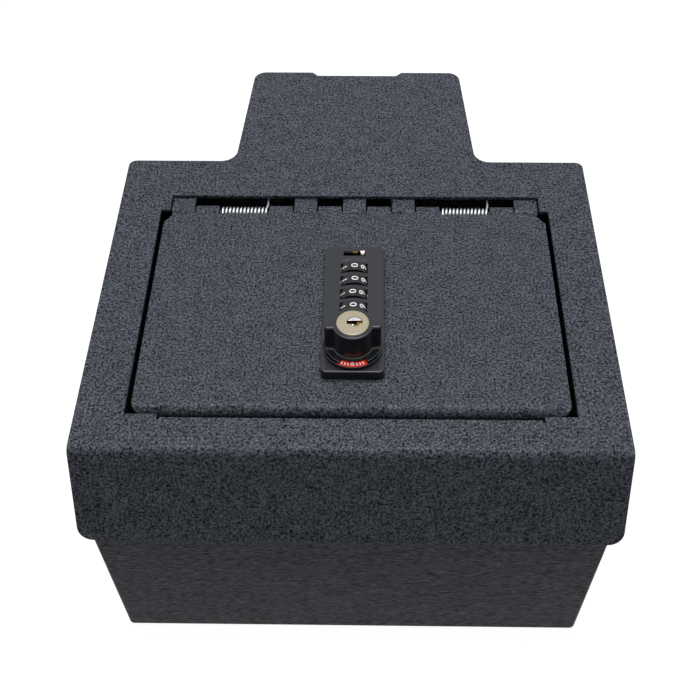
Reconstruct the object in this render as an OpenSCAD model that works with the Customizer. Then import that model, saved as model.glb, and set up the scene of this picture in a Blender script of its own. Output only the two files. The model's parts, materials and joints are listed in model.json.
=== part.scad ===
// Vehicle console safe: a welded steel box that drops into a centre console,
// with a bent top plate, a recessed sprung lid and a combination lock on the lid.
// Millimetres. X to the right, Y to the rear, Z up, the origin under the middle of the whole part.

/* [Top plate] */
// Width of the top plate
plate_w = 310.5; // [300:0.5:340]
// Whole length, from the apron's lower edge to the rear end of the tab
whole_len = 368; // [358:1:385]
// Sheet thickness of the top plate
plate_t = 2.7; // [2:0.1:3.2]
// Outside radius of the bend between top plate and apron
bend_r = 6; // [4:0.5:7]
// Corner radius at the rear of the top plate
plate_corner_r = 5; // [2:0.5:8]

/* [Rear tab] */
// Length of the rear tab
tab_len = 102; // [92:1:112]
// Width of the tab where it leaves the plate
tab_root_w = 165; // [155:1:200]
// Width of the tab at its rear end
tab_end_w = 151; // [110:1:153]
// Corner radius at the rear end of the tab
tab_corner_r = 8; // [4:0.5:12]
// Radius of the fillets at the root of the tab
tab_fillet_r = 10; // [4:0.5:14]
// Width of the notch in the rear edge of the tab
notch_w = 66; // [30:1:80]
// Depth of the notch in the rear edge of the tab
notch_d = 4; // [2:0.5:6]

/* [Front apron] */
// Length of the apron down its slope
apron_len = 61.5; // [45:0.5:75]
// Lean of the apron from vertical, in degrees
apron_lean = 22; // [16:1:28]
// Radius of the lower corners of the apron
apron_corner_r = 8.5; // [5:0.5:14]

/* [Opening] */
// Width of the opening for the lid
open_w = 254.5; // [246:0.5:270]
// Distance from the front bend to the front edge of the opening
open_front = 22.7; // [21:0.1:30]
// How far the ends of the front edge stand back
open_front_step = 2.3; // [1:0.1:2.5]
// Width of the middle stretch of the front edge
open_front_w = 217; // [150:1:230]
// Width of the relief cuts at the ends of the middle stretch
relief_w = 1.4; // [1:0.1:2]
// Depth of the relief cuts
relief_d = 1.6; // [1:0.1:2.5]

/* [Box] */
// How far the top plate reaches past each side of the box
side_ledge = 6.5; // [6:0.5:10]
// Height from the underside of the box to the top of the plate
box_h = 190; // [150:1:260]
// Thickness of the box walls and floor
wall_t = 2.7; // [2:0.1:3.2]
// How far the top plate reaches back past the rear wall
rear_ledge = 21; // [18:0.5:40]
// Lean of the lower front wall from vertical, in degrees
front_lean = 4.8; // [2:0.2:8]
// Spacing of the four floor bolts across the box
bolt_spacing_x = 200; // [120:1:230]
// Spacing of the four floor bolts along the box
bolt_spacing_y = 130; // [90:1:150]
// Diameter of the floor bolt holes
bolt_hole_d = 8.5; // [6:0.5:11]

/* [Lid] */
// Sheet thickness of the lid and the hinge knuckles
lid_t = 2.7; // [2:0.1:3.2]
// Gap between the lid and the sides of the opening
lid_gap = 2.5; // [1.5:0.1:3]
// Gap between the lid's lip and the front edge of the opening
lid_front_gap = 6.8; // [3:0.1:7]
// Height of the lip at the front of the lid
lid_lip = 10; // [8:0.5:11]
// Outside radius of the bend at the front of the lid
lid_bend_r = 6; // [3.5:0.5:6.5]
// Radius of the lid's front corners, seen from above
lid_corner_r = 6; // [1:0.5:8]
// Radius of the lower corners of the lip
lip_corner_r = 3; // [1:0.5:4]
// Width of the chamfers at the lid's rear corners
lid_chamfer_x = 6.2; // [4:0.1:7]
// Length of the chamfers at the lid's rear corners
lid_chamfer_y = 8.7; // [6:0.1:12]

/* [Hinge] */
// Diameter of the hinge pin
pin_d = 4.2; // [3.6:0.1:5]
// Spacing of the hinge knuckles
knuckle_pitch = 16.2; // [15.5:0.1:16.4]
// Gap between neighbouring knuckles
knuckle_gap = 1; // [0.6:0.1:1.4]
// Gap between a fixed knuckle and the lid's cut-out
knuckle_front_gap = 0.5; // [0.4:0.1:0.8]
// Gap between the lid's curls and the rear edge of the opening
hinge_rear_gap = 4.2; // [3.5:0.1:6]
// Length of the fixed straps under the plate
strap_under = 12; // [8:0.5:14]

/* [Lid springs] */
// Wire diameter of the lid springs
wire_d = 1.8; // [1.4:0.1:1.9]
// Turns in each lid spring
spring_turns = 12; // [8:1:13]
// Free space between the turns
turn_gap = 0.6; // [0.5:0.05:0.65]
// Gap between a spring and the hinge pin
coil_gap = 0.3; // [0.25:0.05:0.4]
// Reach of the spring leg under the lid, from the pin
lid_leg = 20; // [14:1:28]
// Reach of the spring leg under the top plate, from the pin
fixed_leg = 17; // [13:1:18]

/* [Lock housing] */
// Width of the lock housing
lock_w = 37; // [33:0.2:40]
// Length of the lock housing
lock_len = 102.2; // [101:0.2:110]
// Height of the lock housing above the lid
lock_h = 7; // [6:0.5:8]
// How far the lock stands to the right of the lid's middle
lock_x = 0.7; // [0:0.1:3]
// Distance from the front bend to the knob's axis
lock_y = 71.4; // [64:0.2:80]
// Distance from the knob's axis to the front of the housing
lock_front = 18.1; // [17.5:0.1:19]
// Radius of the round boss around the knob
boss_r = 18.2; // [17.8:0.1:18.4]
// Rise of the boss's rim above the housing's flat top
boss_rise = 2.5; // [1.5:0.1:2.8]
// Thickness of the boss's rim
boss_wall = 0.9; // [0.7:0.1:1.2]
// Corner radius of the housing
lock_corner_r = 2.5; // [1:0.5:4]
// Rise of the arched ridge over the dials
ridge_rise = 2; // [1:0.1:2.5]
// Half width of the arched ridge
ridge_half = 8.5; // [8.3:0.1:11]
// Width of the lock's body below the lid
body_w = 24; // [22.5:0.5:26]
// Depth of the lock's body below the lid's top
body_drop = 9.7; // [9.7:0.1:11]
// Thickness of the rear cover's bottom
cover_t = 2; // [1.5:0.1:2.2]
// Width of the rear cover
cover_w = 32; // [30:0.5:34]

/* [Dials] */
// Diameter of a dial
dial_d = 19.4; // [18:0.1:19.6]
// Width of a dial
dial_w = 7.2; // [6.5:0.1:7.6]
// Spacing of the dials
dial_pitch = 11; // [10.2:0.1:11.2]
// Distance from the knob's axis to the nearest dial
dial_first = 30.7; // [30:0.1:32.5]
// How far a dial stands above the housing's flat top
dial_proud = 3.5; // [2.5:0.1:3.8]
// Diameter of the dials' shaft
shaft_d = 4; // [3:0.1:5]
// Distance from the knob's axis to the reset slot
reset_y = 77.3; // [76.5:0.1:79]
// Length of the reset slot
reset_len = 13.8; // [12:0.1:15]
// Width of the reset slot
reset_w = 4; // [3.4:0.1:4.6]
// Travel of the reset slider
reset_travel = 7; // [5:0.1:7.5]

/* [Knob] */
// Height of the knob above its disc
knob_h = 17.4; // [16:0.1:24]
// Radius of the knob's barrel
knob_r = 12; // [10.5:0.1:12.2]
// Half length of the knob's wings
wing_half = 16.8; // [14:0.1:17]
// Thickness of the knob's wings
wing_t = 8.2; // [6:0.2:10]
// Radius of the knob's disc
disc_r = 16.8; // [15.2:0.1:17]
// Thickness of the knob's disc
disc_t = 1.6; // [1.2:0.1:2]
// Inner radius of the indicator notch in the disc's rim
notch_in_r = 12.3; // [12.3:0.1:13]
// Half angle of the indicator notch
notch_half = 30; // [24:1:36]
// Thickness of the red and green indicator plates
indicator_t = 2.1; // [0.8:0.1:2.4]
// Radius of the key plug's face
key_face_r = 9.5; // [8.5:0.1:9.8]
// Thickness of the key plug's face
key_face_t = 1.8; // [1.2:0.1:2.4]
// Radius of the key plug below its face
plug_r = 6.5; // [6.2:0.1:7]
// Length of the keyway
keyway_len = 9; // [7:0.1:9.6]
// Width of the keyway
keyway_w = 2.6; // [1.6:0.1:2.8]
// How far the keyway stands to the right of the plug's axis
keyway_x = 1; // [0:0.1:1]

/* [Latch] */
// Radius of the spindle from knob to cam
spindle_r = 5; // [4.5:0.1:5.4]
// Side of the spindle's square end
square_w = 6; // [5:0.1:6.2]
// Reach of the latch cam from the spindle's axis
cam_len = 56; // [50:0.5:60]
// Width of the latch cam
cam_w = 14; // [12:0.5:18]
// Thickness of the latch cam
cam_t = 2.5; // [2:0.1:3]
// Gap between the latch cam and the strike above it
cam_gap = 0.5; // [0.4:0.1:1]
// Width of the strike bracket
strike_w = 60; // [40:1:90]
// Thickness of the strike bracket
strike_t = 2.7; // [2:0.1:3]
// Reach of the strike's tongue
strike_reach = 14.5; // [12:0.5:17]
// Distance from the front bend to the strike's upright
strike_y = 8; // [7:0.5:9]

/* [Fasteners] */
// Diameter of the lock's clamping screws
screw_d = 3; // [2.5:0.1:3]
// Head diameter of the clamping screws
screw_head_d = 5.4; // [4.5:0.1:5.6]
// Diameter of the latch cam's screw
cam_screw_d = 3.5; // [3:0.1:4]

/* [Hidden] */

$fn = 48;
arc_steps = 8;
eps = 0.01;
// How far a cut runs past the face it leaves
over = 1;

// Running clearance of a turning piece, and the looser one of a screw in its hole
run_fit = 0.06;
hole_fit = 0.1;
// Gap between small pieces that lie in a pocket and its walls
slip = 0.3;

// Steel paint, lock plastic and bare metal
paint = [0.28, 0.30, 0.32];
plastic = [0.13, 0.13, 0.14];
gloss = [0.05, 0.05, 0.06];
zinc = [0.72, 0.74, 0.78];
nickel = [0.78, 0.75, 0.68];
brass = [0.78, 0.63, 0.32];

// Place of the front bend line and of the plate's top
apron_reach = apron_len * sin(apron_lean);
front_y = apron_reach - whole_len / 2;
plate_d = whole_len - tab_len - apron_reach;
opening_corner_r = 1;
box_w = plate_w - 2 * side_ledge;
plate_top = box_h;
under_plate = plate_top - plate_t;

// Hinge: a row of fifteen cells, of which four hold the two springs
cells = 15;
fixed_cells = [0, 5, 7, 9, 14];
lid_cells = [1, 4, 6, 8, 10, 13];
spring_cells = [2, 11];
hinge_w = cells * knuckle_pitch;
knuckle_w = knuckle_pitch - knuckle_gap;
curl_in_r = pin_d / 2 + run_fit;
curl_r = curl_in_r + lid_t;
curl_angle = 270;
lid_top = under_plate;
under_lid = lid_top - lid_t;
axis_z = lid_top - curl_r;
rear_in_y = front_y + plate_d - rear_ledge - wall_t;
open_rear = rear_in_y - strap_under;
axis_y = open_rear - hinge_rear_gap - curl_r;
pin_len = hinge_w - knuckle_gap;

// Lid springs: the wire's middle line, where a straight step between rings cuts inside the circle
ring_steps = 8;
wire_sides = 6;
chord_in = 0.3;
coil_r = pin_d / 2 + coil_gap + wire_d / 2 + chord_in;
turn_pitch = wire_d + turn_gap;
coil_start = 120;
leg_gap = 0.4;
leg_drop = curl_in_r - wire_d / 2 - leg_gap;
spring_rings = spring_turns * ring_steps + (coil_start - 90) * ring_steps / 360;

// Lid outline
lid_w = open_w - 2 * lid_gap;
lid_front = front_y + open_front + lid_front_gap;
lid_rear = axis_y - curl_r - knuckle_front_gap;
hinge_step = axis_y - curl_r;

// Apron and front wall: the wall lies against the back of the apron, then leans back
slope = [-sin(apron_lean), -cos(apron_lean)];
inward = [cos(apron_lean), -sin(apron_lean)];
bend_corner = [front_y, plate_top];
bend_setback = bend_r * tan((90 - apron_lean) / 2);
apron_back = bend_corner + plate_t * inward;
wall_top = apron_back + bend_setback * slope;
kink_up = 0.6;
wall_kink = apron_back + (apron_len - kink_up) * slope;
wall_foot = [wall_kink[0] + wall_kink[1] * tan(front_lean), 0];
front_outline = [wall_top, wall_kink, wall_foot];
inner_bends = inner_path(front_outline, wall_t);
front_inner = [inner_bends[0], inner_bends[1], wall_foot + [wall_t / cos(front_lean), 0]];

// Lock: heights are above the lid's top, places along Y are from the knob's axis
knob_y = front_y + lock_y;
lock_rear = lock_len - lock_front;
dial_z = lock_h + dial_proud - dial_d / 2;
dials = 4;
dial_edge = 0.4;
// Gaps between a dial and its well, round the rim and at each side
well_rim_gap = 0.9;
well_side_gap = 0.25;
well_r = dial_d / 2 + well_rim_gap;
well_w = dial_w + 2 * well_side_gap;
body_front = -11;
body_rear = 75;
body_corner_r = 1;
cover_bottom = -body_drop - cover_t;
ridge_front = dial_first - dial_pitch / 2;
ridge_rear = dial_first + (dials - 0.5) * dial_pitch;
shaft_past_rear = 3;
shaft_past_front = 2;
shaft_rear = ridge_rear + shaft_past_rear;
shaft_front = ridge_front - shaft_past_front;
channel_in = 2;
screw_x = 9;
screw_front_y = (body_front - lock_front) / 2;
screw_rear_y = (lock_rear + body_rear) / 2;
screw_head_h = 1.8;
screw_slot_w = 1;
screw_slot_deep = 0.8;
screw_in = 4;
disc_z = lock_h + indicator_t + slip;
knob_top = disc_z + disc_t + knob_h;
ring_in_r = 10.6;
ring_gap = 0.3;
ring_out_r = boss_r - boss_wall - ring_gap;
ring_sweep = 2 * notch_half + 4;
plug_floor = 2;
plug_foot = disc_z + disc_t + plug_floor;
keyway_floor = 3;
key_face_rise = 0.2;
spindle_gap = 1;
spindle_top = plug_foot - spindle_gap;
// The cam turns just under the strike's tongue
tongue_drop = 4.5;
tongue_z = lid_top - lid_lip - tongue_drop;
cam_eye_d = cam_w + 4;
cam_top = tongue_z - lid_top - cam_gap;
cam_bottom = cam_top - cam_t;
washer_t = 1;
cam_head_h = 2.6;
cam_head_d = 2 * cam_screw_d;
cross_w = 1.2;
cross_deep = 1.2;
cam_screw_in = 9;
// The knob pushes the locking bar back by this much
bar_travel = 2;
bar_w = 2;
bar_h = 1.7;
// Leaf of the detent spring and its pads
leaf_t = 0.4;
leaf_w = 6;
pad_w = 4;
pad_len = 3;
// Reset slider: its pocket below the slot, and the pin that stands out of it
pocket_z = 2;
pocket_h = 2.5;
pocket_side = 0.5;
slot_deep = 3;
slider_h = 2.2;
reset_pin_r = 1.4;
reset_pin_gap = 0.1;
reset_pin_proud = 1.2;

// A corner rounded to radius r, seen as an arc between its two neighbours
function unit(v) = v / norm(v);
function corner_arc(a, b, c, r) =
    let (
        u = unit(a - b),
        v = unit(c - b),
        half = acos(u * v) / 2,
        centre = b + unit(u + v) * r / sin(half),
        from = b + u * r / tan(half) - centre,
        turn = (u[0] * v[1] - u[1] * v[0] > 0 ? -1 : 1) * (180 - 2 * half)
    )
    r == 0 ? [b] : [
        for (i = [0 : arc_steps])
            let (t = turn * i / arc_steps)
            centre + [from[0] * cos(t) - from[1] * sin(t), from[0] * sin(t) + from[1] * cos(t)]
    ];

// Outline with each corner rounded: corners are [x, y, radius]
function rounded(corners) = [
    for (i = [0 : len(corners) - 1])
        let (
            n = len(corners),
            a = corners[(i + n - 1) % n],
            b = corners[i],
            c = corners[(i + 1) % n]
        )
        each corner_arc([a[0], a[1]], [b[0], b[1]], [c[0], c[1]], b[2])
];

function box_outline(x0, y0, x1, y1, r) = rounded([[x0, y0, r], [x1, y0, r], [x1, y1, r], [x0, y1, r]]);

// Right half of an outline, followed by its mirror image
function mirrored(half) =
    concat(half, [for (i = [len(half) - 1 : -1 : 0]) [-half[i][0], half[i][1], half[i][2]]]);

// Inner face of a bent sheet: the outer path moved left of its own direction by t
function left_of(v) = [-v[1], v[0]];
function inner_path(path, t) = [
    for (i = [0 : len(path) - 1])
        let (
            before = unit(i == 0 ? path[1] - path[0] : path[i] - path[i - 1]),
            after = unit(i == len(path) - 1 ? path[i] - path[i - 1] : path[i + 1] - path[i]),
            m = unit(left_of(before) + left_of(after))
        )
        path[i] + m * t / (m * left_of(before))
];

// Flat shape in the Y-Z plane, drawn out along X from x0 to x1
module along_x(x0, x1) {
    translate([x0, 0, 0]) rotate([90, 0, 90]) linear_extrude(x1 - x0) children();
}

// A bent sheet of even thickness, from its outer path
module bent_sheet(path, t, x0, x1) {
    inner = inner_path(path, t);
    along_x(x0, x1) polygon(concat(path, [for (i = [len(inner) - 1 : -1 : 0]) inner[i]]));
}

// Part of a tube round the X axis, from angle a0 (0 is +Y, 90 is +Z) over angle sweep
module bend_x(r_in, r_out, a0, sweep, x0, x1) {
    translate([x0, 0, 0]) rotate([90, 0, 90]) rotate([0, 0, a0])
        rotate_extrude(angle = sweep) translate([r_in, 0]) square([r_out - r_in, x1 - x0]);
}

// A rod along Y
module rod_y(r, y0, y1) {
    translate([0, y0, 0]) rotate([-90, 0, 0]) cylinder(r = r, h = y1 - y0);
}

module at_lock() {
    translate([lock_x, knob_y, lid_top]) children();
}

module at_hinge() {
    translate([0, axis_y, axis_z]) children();
}

// Left end of hinge cell i
function cell_x(i) = (i - cells / 2) * knuckle_pitch;

// The lower corners of the apron are rounded by cutting them off square to its face
module apron_corner(side) {
    r = apron_corner_r;
    translate([side * plate_w / 2, bend_corner[0], bend_corner[1]]) rotate([-apron_lean, 0, 0])
        translate([0, -plate_t, -apron_len]) rotate([-90, 0, 0]) difference() {
            translate([-r, -r, 0]) cube([2 * r, 2 * r, 3 * plate_t]);
            translate([-side * r, -r, -over]) cylinder(r = r, h = 4 * plate_t);
        }
}

module top_plate() {
    color(paint) difference() {
        union() {
            translate([0, 0, under_plate]) linear_extrude(plate_t) difference() {
                polygon(rounded(mirrored([
                    [plate_w / 2, front_y + bend_setback, 0],
                    [plate_w / 2, front_y + plate_d, plate_corner_r],
                    [tab_root_w / 2, front_y + plate_d, tab_fillet_r],
                    [tab_end_w / 2, front_y + plate_d + tab_len, tab_corner_r],
                    [notch_w / 2, front_y + plate_d + tab_len, 0],
                    [notch_w / 2 - notch_d, front_y + plate_d + tab_len - notch_d, 0]
                ])));
                polygon(rounded(mirrored([
                    [open_front_w / 2 - relief_w, front_y + open_front, 0],
                    [open_front_w / 2 - relief_w, front_y + open_front - relief_d, 0],
                    [open_front_w / 2, front_y + open_front - relief_d, 0],
                    [open_front_w / 2, front_y + open_front + open_front_step, 0],
                    [open_w / 2, front_y + open_front + open_front_step, opening_corner_r],
                    [open_w / 2, hinge_step, opening_corner_r],
                    [hinge_w / 2, hinge_step, 0],
                    [hinge_w / 2, open_rear, 0]
                ])));
            }
            translate([0, bend_corner[0] + bend_setback, bend_corner[1] - bend_r])
                bend_x(bend_r - plate_t, bend_r, 90, 90 - apron_lean, -plate_w / 2, plate_w / 2);
            bent_sheet(
                [bend_corner + bend_setback * slope, bend_corner + apron_len * slope],
                plate_t, -plate_w / 2, plate_w / 2
            );
        }
        for (side = [-1, 1]) apron_corner(side);
    }
}

module front_wall() {
    color(paint) along_x(-box_w / 2, box_w / 2)
        polygon(concat(front_outline, [for (i = [2 : -1 : 0]) front_inner[i]]));
}

module rear_wall() {
    color(paint) translate([-box_w / 2, rear_in_y, 0]) cube([box_w, wall_t, under_plate]);
}

module side_wall(x0) {
    color(paint) along_x(x0, x0 + wall_t)
        polygon([
            [front_inner[0][0] + (under_plate - front_inner[0][1]) * tan(apron_lean), under_plate],
            [rear_in_y, under_plate], [rear_in_y, 0],
            front_inner[2], front_inner[1]
        ]);
}

module left_wall() {
    side_wall(-box_w / 2);
}

module right_wall() {
    side_wall(box_w / 2 - wall_t);
}

module floor_plate() {
    floor_mid = (front_inner[2][0] + rear_in_y) / 2;
    color(paint) difference() {
        along_x(-box_w / 2 + wall_t, box_w / 2 - wall_t)
            polygon([
                front_inner[2], [rear_in_y, 0], [rear_in_y, wall_t],
                [front_inner[2][0] - wall_t * tan(front_lean), wall_t]
            ]);
        for (sx = [-1, 1], sy = [-1, 1])
            translate([sx * bolt_spacing_x / 2, floor_mid + sy * bolt_spacing_y / 2, -over])
                cylinder(d = bolt_hole_d, h = wall_t + 2 * over);
    }
}

// Curls of the fixed leaf, with straps that run back under the top plate
module fixed_knuckles() {
    color(paint) at_hinge() for (i = fixed_cells) {
        x0 = cell_x(i) + knuckle_gap / 2;
        bend_x(curl_in_r, curl_r, 90, curl_angle, x0, x0 + knuckle_w);
        translate([x0, 0, curl_in_r]) cube([knuckle_w, rear_in_y - axis_y, lid_t]);
    }
}

module hinge_pin() {
    color(zinc) at_hinge() translate([-pin_len / 2, 0, 0]) rotate([0, 90, 0])
        cylinder(d = pin_d, h = pin_len);
}

// Path of a lid spring: a leg under the lid, the turns, then a leg back under the top plate
function coil_point(i) =
    let (a = coil_start - i * 360 / ring_steps)
    [i * turn_pitch / ring_steps, coil_r * cos(a), coil_r * sin(a)];
function spring_path() =
    let (end = coil_point(spring_rings))
    concat(
        [[0, -lid_leg, leg_drop], [0, -coil_r - wire_d, leg_drop]],
        [for (i = [0 : floor(spring_rings)]) coil_point(i)],
        [end, end + [wire_d / 2, fixed_leg, 0]]
    );

// Least gap between turns of the spring, worked out on the points of its path
function turn_gaps(path) = [
    for (i = [0 : len(path) - 1])
        for (j = [i + ring_steps / 2 : 1 : len(path) - 1])
            norm(path[i] - path[j]) - wire_d
];
echo(spring_least_gap = min(turn_gaps(spring_path())));

// A round wire along a path of points, as one closed tube of six sides
module wire(path) {
    n = len(path);
    function heading(i) = unit(path[min(i + 1, n - 1)] - path[max(i - 1, 0)]);
    rings = [
        for (i = [0 : n - 1])
            let (
                h = heading(i),
                side = unit(cross(h, [1, 0, 0])),
                up = cross(side, h)
            )
            for (k = [0 : wire_sides - 1])
                path[i] + wire_d / 2 * (cos(k * 360 / wire_sides) * side + sin(k * 360 / wire_sides) * up)
    ];
    faces = concat(
        [[for (k = [0 : wire_sides - 1]) k]],
        [
            for (i = [0 : n - 2], k = [0 : wire_sides - 1])
                let (
                    a = i * wire_sides + k,
                    b = i * wire_sides + (k + 1) % wire_sides
                )
                each [[a, a + wire_sides, b], [b, a + wire_sides, b + wire_sides]]
        ],
        [[for (k = [wire_sides - 1 : -1 : 0]) (n - 1) * wire_sides + k]]
    );
    polyhedron(rings, faces);
}

module lid_spring(i) {
    spare = 2 * knuckle_pitch - spring_rings * turn_pitch / ring_steps;
    color(zinc) at_hinge() translate([cell_x(i) + spare / 2, 0, 0]) wire(spring_path());
}

module left_spring() {
    lid_spring(spring_cells[0]);
}

module right_spring() {
    lid_spring(spring_cells[1]);
}

// Bracket welded under the plate's front edge, which the latch cam turns under
module latch_strike() {
    y0 = front_y + strike_y;
    color(zinc) bent_sheet(
        [[y0, under_plate], [y0, tongue_z], [y0 + strike_reach, tongue_z]],
        strike_t, -strike_w / 2, strike_w / 2
    );
}

module lip_corner(side) {
    r = lip_corner_r;
    translate([side * lid_w / 2, lid_front, lid_top - lid_lip]) rotate([-90, 0, 0]) difference() {
        translate([-r, -r, -over]) cube([2 * r, 2 * r, lid_t + 2 * over]);
        translate([-side * r, -r, -2 * over]) cylinder(r = r, h = lid_t + 4 * over);
    }
}

// A front corner of the lid, rounded right through the bend
module lid_corner(side) {
    r = lid_corner_r;
    translate([side * lid_w / 2, lid_front, lid_top - lid_lip - over]) difference() {
        translate([-r, -r, 0]) cube([2 * r, 2 * r, lid_lip + 2 * over]);
        translate([-side * r, r, -over]) cylinder(r = r, h = lid_lip + 4 * over);
    }
}

module lid() {
    color(paint) difference() {
        union() {
            translate([0, 0, under_lid]) linear_extrude(lid_t) polygon(rounded(mirrored([
                [lid_w / 2, lid_front + lid_bend_r, 0],
                [lid_w / 2, lid_rear - lid_chamfer_y, 0],
                [lid_w / 2 - lid_chamfer_x, lid_rear, 0]
            ])));
            translate([0, lid_front + lid_bend_r, lid_top - lid_bend_r])
                bend_x(lid_bend_r - lid_t, lid_bend_r, 90, 90, -lid_w / 2, lid_w / 2);
            translate([-lid_w / 2, lid_front, lid_top - lid_lip]) cube([lid_w, lid_t, lid_lip - lid_bend_r]);
            at_hinge() for (i = lid_cells) {
                x0 = cell_x(i) + knuckle_gap / 2;
                bend_x(curl_in_r, curl_r, -180, curl_angle, x0, x0 + knuckle_w);
                translate([x0, lid_rear - axis_y - eps, curl_in_r])
                    cube([knuckle_w, axis_y - lid_rear + eps, lid_t]);
            }
        }
        for (side = [-1, 1]) {
            lip_corner(side);
            lid_corner(side);
        }
        at_lock() {
            translate([0, 0, -lid_t - over]) linear_extrude(lid_t + 2 * over) polygon(body_hole());
            clamp_holes(-lid_t - over, over);
        }
    }
}

// Outline of the hole that the lock's body goes down through
function body_hole() =
    box_outline(-body_w / 2 - slip, body_front - slip, body_w / 2 + slip, body_rear + slip, body_corner_r);

// The four clamping screws' places, and their holes from z0 to z1
module at_clamps() {
    for (sx = [-1, 1], y = [screw_front_y, screw_rear_y]) translate([sx * screw_x, y, 0]) children();
}

module clamp_holes(z0, z1) {
    at_clamps() translate([0, 0, z0]) cylinder(d = screw_d + 2 * hole_fit, h = z1 - z0);
}

module lock_housing() {
    ridge_r = (ridge_half * ridge_half + ridge_rise * ridge_rise) / (2 * ridge_rise);
    ridge_len = ridge_rear - ridge_front;
    color(plastic) at_lock() difference() {
        union() {
            linear_extrude(lock_h)
                polygon(box_outline(-lock_w / 2, -lock_front, lock_w / 2, lock_rear, lock_corner_r));
            cylinder(r = boss_r, h = lock_h + boss_rise, $fn = 96);
            intersection() {
                translate([0, 0, lock_h + ridge_rise - ridge_r]) rod_y(ridge_r, ridge_front, ridge_rear);
                translate([-ridge_half, ridge_front, lock_h - over])
                    cube([2 * ridge_half, ridge_len, ridge_rise + 2 * over]);
            }
            translate([0, 0, -body_drop]) linear_extrude(body_drop + over)
                polygon(box_outline(-body_w / 2, body_front, body_w / 2, body_rear, body_corner_r));
        }
        // Wells for the dials, open through the top and the bottom
        for (i = [0 : dials - 1]) translate([0, dial_first + i * dial_pitch, 0]) {
            translate([0, 0, dial_z]) rod_y(well_r, -well_w / 2, well_w / 2);
            translate([-well_r, -well_w / 2, -body_drop - over])
                cube([2 * well_r, well_w, body_drop + over + dial_z]);
        }
        translate([0, 0, dial_z]) rod_y(shaft_d / 2 + run_fit, shaft_front, shaft_rear);
        // Channel under the dials for the detent spring and the locking bar
        translate([-well_r, shaft_front, -body_drop - over])
            cube([2 * well_r, shaft_rear - shaft_front, body_drop + over + dial_z - dial_d / 2 + channel_in]);
        // Reset slot and the pocket of its slider
        translate([-reset_len / 2, reset_y - reset_w / 2, lock_h - slot_deep])
            cube([reset_len, reset_w, slot_deep + over]);
        translate([-reset_len / 2, reset_y - reset_w / 2 - pocket_side, pocket_z])
            cube([reset_len, reset_w + 2 * pocket_side, pocket_h]);
        // Bore of the spindle and the hollow of the boss, where the indicator plates and the disc lie
        translate([0, 0, -body_drop - over])
            cylinder(r = spindle_r + run_fit, h = body_drop + lock_h + 2 * over);
        translate([0, 0, lock_h]) cylinder(r = boss_r - boss_wall, h = boss_rise + over, $fn = 96);
        clamp_holes(-body_drop - over, screw_in + over);
    }
}

// Cast cover that clamps the lid against the housing from below
module rear_cover() {
    color(zinc) at_lock() difference() {
        translate([0, 0, cover_bottom]) linear_extrude(-lid_t - cover_bottom)
            polygon(box_outline(-cover_w / 2, -lock_front, cover_w / 2, lock_rear, lock_corner_r));
        translate([0, 0, -body_drop]) linear_extrude(body_drop) polygon(body_hole());
        translate([0, 0, cover_bottom - over]) cylinder(r = spindle_r + run_fit, h = cover_t + 2 * over);
        clamp_holes(cover_bottom - over, 0);
    }
}

module clamp_screws() {
    color(zinc) at_lock() at_clamps() {
        translate([0, 0, cover_bottom]) cylinder(d = screw_d, h = screw_in - cover_bottom);
        translate([0, 0, cover_bottom - screw_head_h]) difference() {
            cylinder(d = screw_head_d, h = screw_head_h);
            translate([-screw_slot_w / 2, -screw_head_d / 2, -over])
                cube([screw_slot_w, screw_head_d, screw_slot_deep + over]);
        }
    }
}

// Part of a ring in the boss, under the knob's disc, centred on angle a
module indicator(a) {
    at_lock() translate([0, 0, lock_h]) rotate([0, 0, a - ring_sweep / 2])
        rotate_extrude(angle = ring_sweep, $fn = 96)
        translate([ring_in_r, 0]) square([ring_out_r - ring_in_r, indicator_t]);
}

module indicator_red() {
    color([0.85, 0.08, 0.06]) indicator(-90);
}

module indicator_green() {
    color([0.05, 0.6, 0.25]) indicator(0);
}

module dial_shaft() {
    color(zinc) at_lock() translate([0, 0, dial_z]) rod_y(shaft_d / 2, shaft_front + slip, shaft_rear - slip);
}

// Dial number i, counted from the rear: a wheel with a chamfered rim
module dial(i) {
    r = dial_d / 2;
    half = dial_w / 2;
    color(gloss) at_lock() translate([0, dial_first + (dials - i) * dial_pitch, dial_z]) rotate([90, 0, 0])
        rotate_extrude($fn = 80) polygon([
            [shaft_d / 2 + run_fit, -half], [r - dial_edge, -half], [r, -half + dial_edge],
            [r, half - dial_edge], [r - dial_edge, half], [shaft_d / 2 + run_fit, half]
        ]);
}

module dial_1() {
    dial(1);
}

module dial_2() {
    dial(2);
}

module dial_3() {
    dial(3);
}

module dial_4() {
    dial(4);
}

// Leaf that presses on each dial from below and makes it click
module detent_spring() {
    pad_top = dial_z - dial_d / 2 - slip;
    color(zinc) at_lock() translate([0, 0, -body_drop]) union() {
        translate([-leaf_w / 2, shaft_front + slip, 0])
            cube([leaf_w, shaft_rear - shaft_front - 2 * slip, leaf_t]);
        for (i = [0 : dials - 1]) translate([-pad_w / 2, dial_first + i * dial_pitch - pad_len / 2, 0])
            cube([pad_w, pad_len, pad_top + body_drop]);
    }
}

// Bar beside the dials, which slides back as the knob turns
module locking_bar() {
    color(zinc) at_lock() translate([well_r - slip - bar_w, shaft_front + slip, -body_drop + slip])
        cube([bar_w, shaft_rear - shaft_front - 2 * slip - bar_travel, bar_h]);
}

// Slider in the reset slot, shown at its right-hand end
module reset_slider() {
    w = reset_len - reset_travel - 2 * slip;
    color(gloss) at_lock() translate([reset_len / 2 - slip - w, reset_y - reset_w / 2, pocket_z])
        cube([w, reset_w, slider_h]);
}

module reset_pin() {
    foot = pocket_z + slider_h;
    color(brass) at_lock() translate([reset_len / 2 - slip - reset_pin_r - reset_pin_gap, reset_y, foot])
        cylinder(r = reset_pin_r, h = lock_h + reset_pin_proud - foot);
}

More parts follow.
